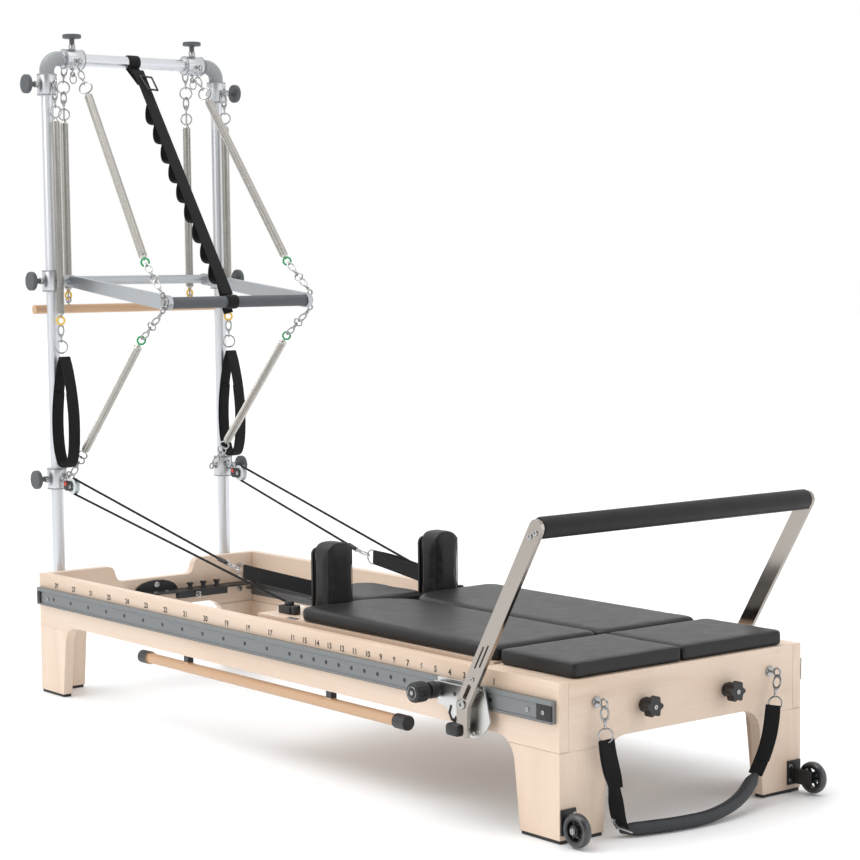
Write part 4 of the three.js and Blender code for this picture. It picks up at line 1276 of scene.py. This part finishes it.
def make_collars():
    """Four collars a side, with their eyebolts, loose rings and knob studs."""
    for name, side in SIDES:
        for level, z in LEVELS:
            x, y = POST_X, side * POST_Y
            collar(f"{level}_{name}", (x, y, z), (0, 0, 1))
            bolts = []
            for way in (-1, 1):
                if level == "low" and way < 0:
                    bolts += eye_bolt((x, y - side * 0.0295, z), (0.25, -side, 0.1), 0.019)
                elif level == "low":
                    bolts += eye_bolt((x + 0.0295, y - side * 0.010, z + 0.010), (1, -side * 0.2, 0.2), 0.022)
                else:
                    bolts += eye_bolt((x + way * 0.0297, y, z), (way, 0, 0), 0.019)
            loose = Vector((x + 0.050, y + side * 0.004, z - 0.010))
            bolts.append(ring(loose, 0.0112, 0.0014, (0.5, 0.8, 0.2)))
            stud = rod((x, side * 0.3375, z), (x, side * 0.352, z), 0.0105, 24, 0.0015)
            steel(bolts + [stud], f"collar_eyes_{level}_{name}", "frame")
        x, y = POST_X, side * 0.218
        collar(f"top_{name}", (x, y, BAR_Z), (0, 1, 0))
        bolts = eye_bolt((x + 0.0295, y, BAR_Z - 0.006), (1, 0, -0.15), 0.020)
        bolts += eye_bolt((x - 0.0297, y, BAR_Z), (-1, 0, 0), 0.019)
        bolts += eye_bolt((x, y, BAR_Z - 0.0295), (0, 0, -1), 0.016, 0.0065)
        bolts.append(ring((x + 0.003, y, BAR_Z - 0.0600), 0.0100, 0.0015, (0.8, -0.6, 0), 1.35, (0, 0, 1)))
        bolts.append(ring((x + 0.030, y - side * 0.003, BAR_Z - 0.022), 0.0105, 0.0015, (0.3, 0.9, 0.2)))
        stud = rod((x, y, BAR_Z + 0.0295), (x, y, BAR_Z + 0.045), 0.0105, 24, 0.0015)
        steel(bolts + [stud], f"collar_eyes_top_{name}", "frame")


make_collars()


def make_pulleys():
    for name, side in SIDES:
        y = side * POST_Y
        parts = []
        for off in (-0.0125, 0.0095):
            low, high = (-1.1745, y + off, 0.6225), (-1.1205, y + off + 0.0030, 0.6540)
            rounds = {(-1, -1): 0.011, (-1, 1): 0.011, (1, -1): 0.015, (1, 1): 0.015}
            parts.append(cushion_blank(low, high, rounds, "Y", 0.0008))
        parts.append(block((-1.1745, y - 0.0120, 0.6320), (-1.1640, y + 0.0120, 0.6520), 0.002))
        moulded(parts, f"pulley_cheeks_{name}", "frame")
        red = [
            rod((-1.163, y + s * 0.0120, 0.6440), (-1.163, y + s * 0.0142, 0.6440), 0.0068, 20, 0.0008)
            for s in (-1, 1)
        ]
        keep(one_piece(red), f"pulley_rivets_{name}", red_rivet, "frame")
        axle = [dome_screw((-1.134, y + s * 0.0125, 0.638), (0, s, 0), 0.0068) for s in (-1, 1)]
        link = ring((-1.1855, y, 0.6480), 0.0125, 0.0021, (0, 1, 0))
        stem = rod((-1.209, y, 0.648), (-1.190, y, 0.648), 0.0045, 14, 0.0005)
        steel(axle + [link, stem], f"pulley_fittings_{name}", "frame")


make_pulleys()


def make_post_sockets():
    for name, side in SIDES:
        y = side * POST_Y
        bolts = [dome_screw((-1.1717, side * 0.320, z), (1, 0, 0), 0.009, 0.004) for z in (0.252, 0.330)]
        bolts += [dome_screw((-1.2622, y, z), (-1, 0, 0), 0.008, 0.004) for z in (0.260, 0.320)]
        steel(bolts, f"post_socket_bolts_{name}", "frame")
        cap = rod((POST_X, y, 0.1485), (POST_X, y, 0.156), 0.0195, 28, 0.0015)
        moulded([cap], f"post_foot_cap_{name}", "frame")


make_post_sockets()

# ---------------------------------------------------------------- head bracket and carriage fittings


def make_head_bracket_details():
    pegs = []
    for y in (0.107, 0.157, 0.208):
        pegs += [
            rod((-1.136, y, 0.277), (-1.136, y, 0.283), 0.0105, 20, 0.001, 0.0075),
            rod((-1.136, y, 0.282), (-1.136, y, 0.2935), 0.0062, 16, 0.0005),
            rod((-1.136, y, 0.2905), (-1.136, y, 0.2980), 0.0095, 20, 0.0012, 0.0115),
        ]
    moulded(pegs, "bracket_cord_pegs", "frame")
    screws = [dome_screw((-1.1655, 0, 0.297), (1, 0, 0), 0.0105, 0.003)]
    screws += [dome_screw((-1.140, y, 0.2772), (0, 0, 1), 0.0065) for y in (-0.020, 0.022)]
    hook = eye_bolt((-1.1118, 0.118, 0.263), (1, 0, 0), 0.014, 0.0065)
    steel(screws + hook, "bracket_screws", "frame")


make_head_bracket_details()


def make_carriage_fittings():
    for name, side in SIDES:
        low_y, high_y = sorted((side * 0.262, side * 0.300))
        base = block((-0.049, low_y, 0.3719), (0.004, high_y, 0.394), 0.003)
        dip = rod((-0.0225, side * 0.281, 0.392), (-0.0225, side * 0.281, 0.404), 0.0130, 24, 0.003)
        wheel = rod((0.012, side * 0.286, 0.372), (0.012, side * 0.286, 0.396), 0.0120, 24, 0.003)
        moulded([base, dip, wheel], f"rope_cleat_{name}", "carriage")
        low_y, high_y = sorted((side * 0.322, side * 0.340))
        angle = block((0.046, low_y, 0.3718), (0.084, high_y, 0.3738), 0.0006)
        screws = [dome_screw((x, side * 0.331, 0.3738), (0, 0, 1), 0.0042, 0.0015) for x in (0.055, 0.075)]
        steel([angle] + screws, f"pad_bracket_{name}", "carriage")
    coils, tabs, z = [], [], 0.301
    for k in range(5):
        y = -0.24 + 0.12 * k
        coils.append(coil((0.520, y, z), (0.940, y, z), 0.012, 0.0014, 0.0042))
        coils += [rod((a, y, z), (b, y, z), 0.002, 10, 0.0003) for a, b in ((0.507, 0.524), (0.936, 0.957))]
        tabs.append(rod((0.4995, y, z), (0.507, y, z), 0.006, 16, 0.001))
    across_joint(one_piece(coils), "carriage_spring_coils", spring_steel,
                 ["carriage_spring_set"])
    steel(tabs, "carriage_spring_tabs", "carriage")


make_carriage_fittings()
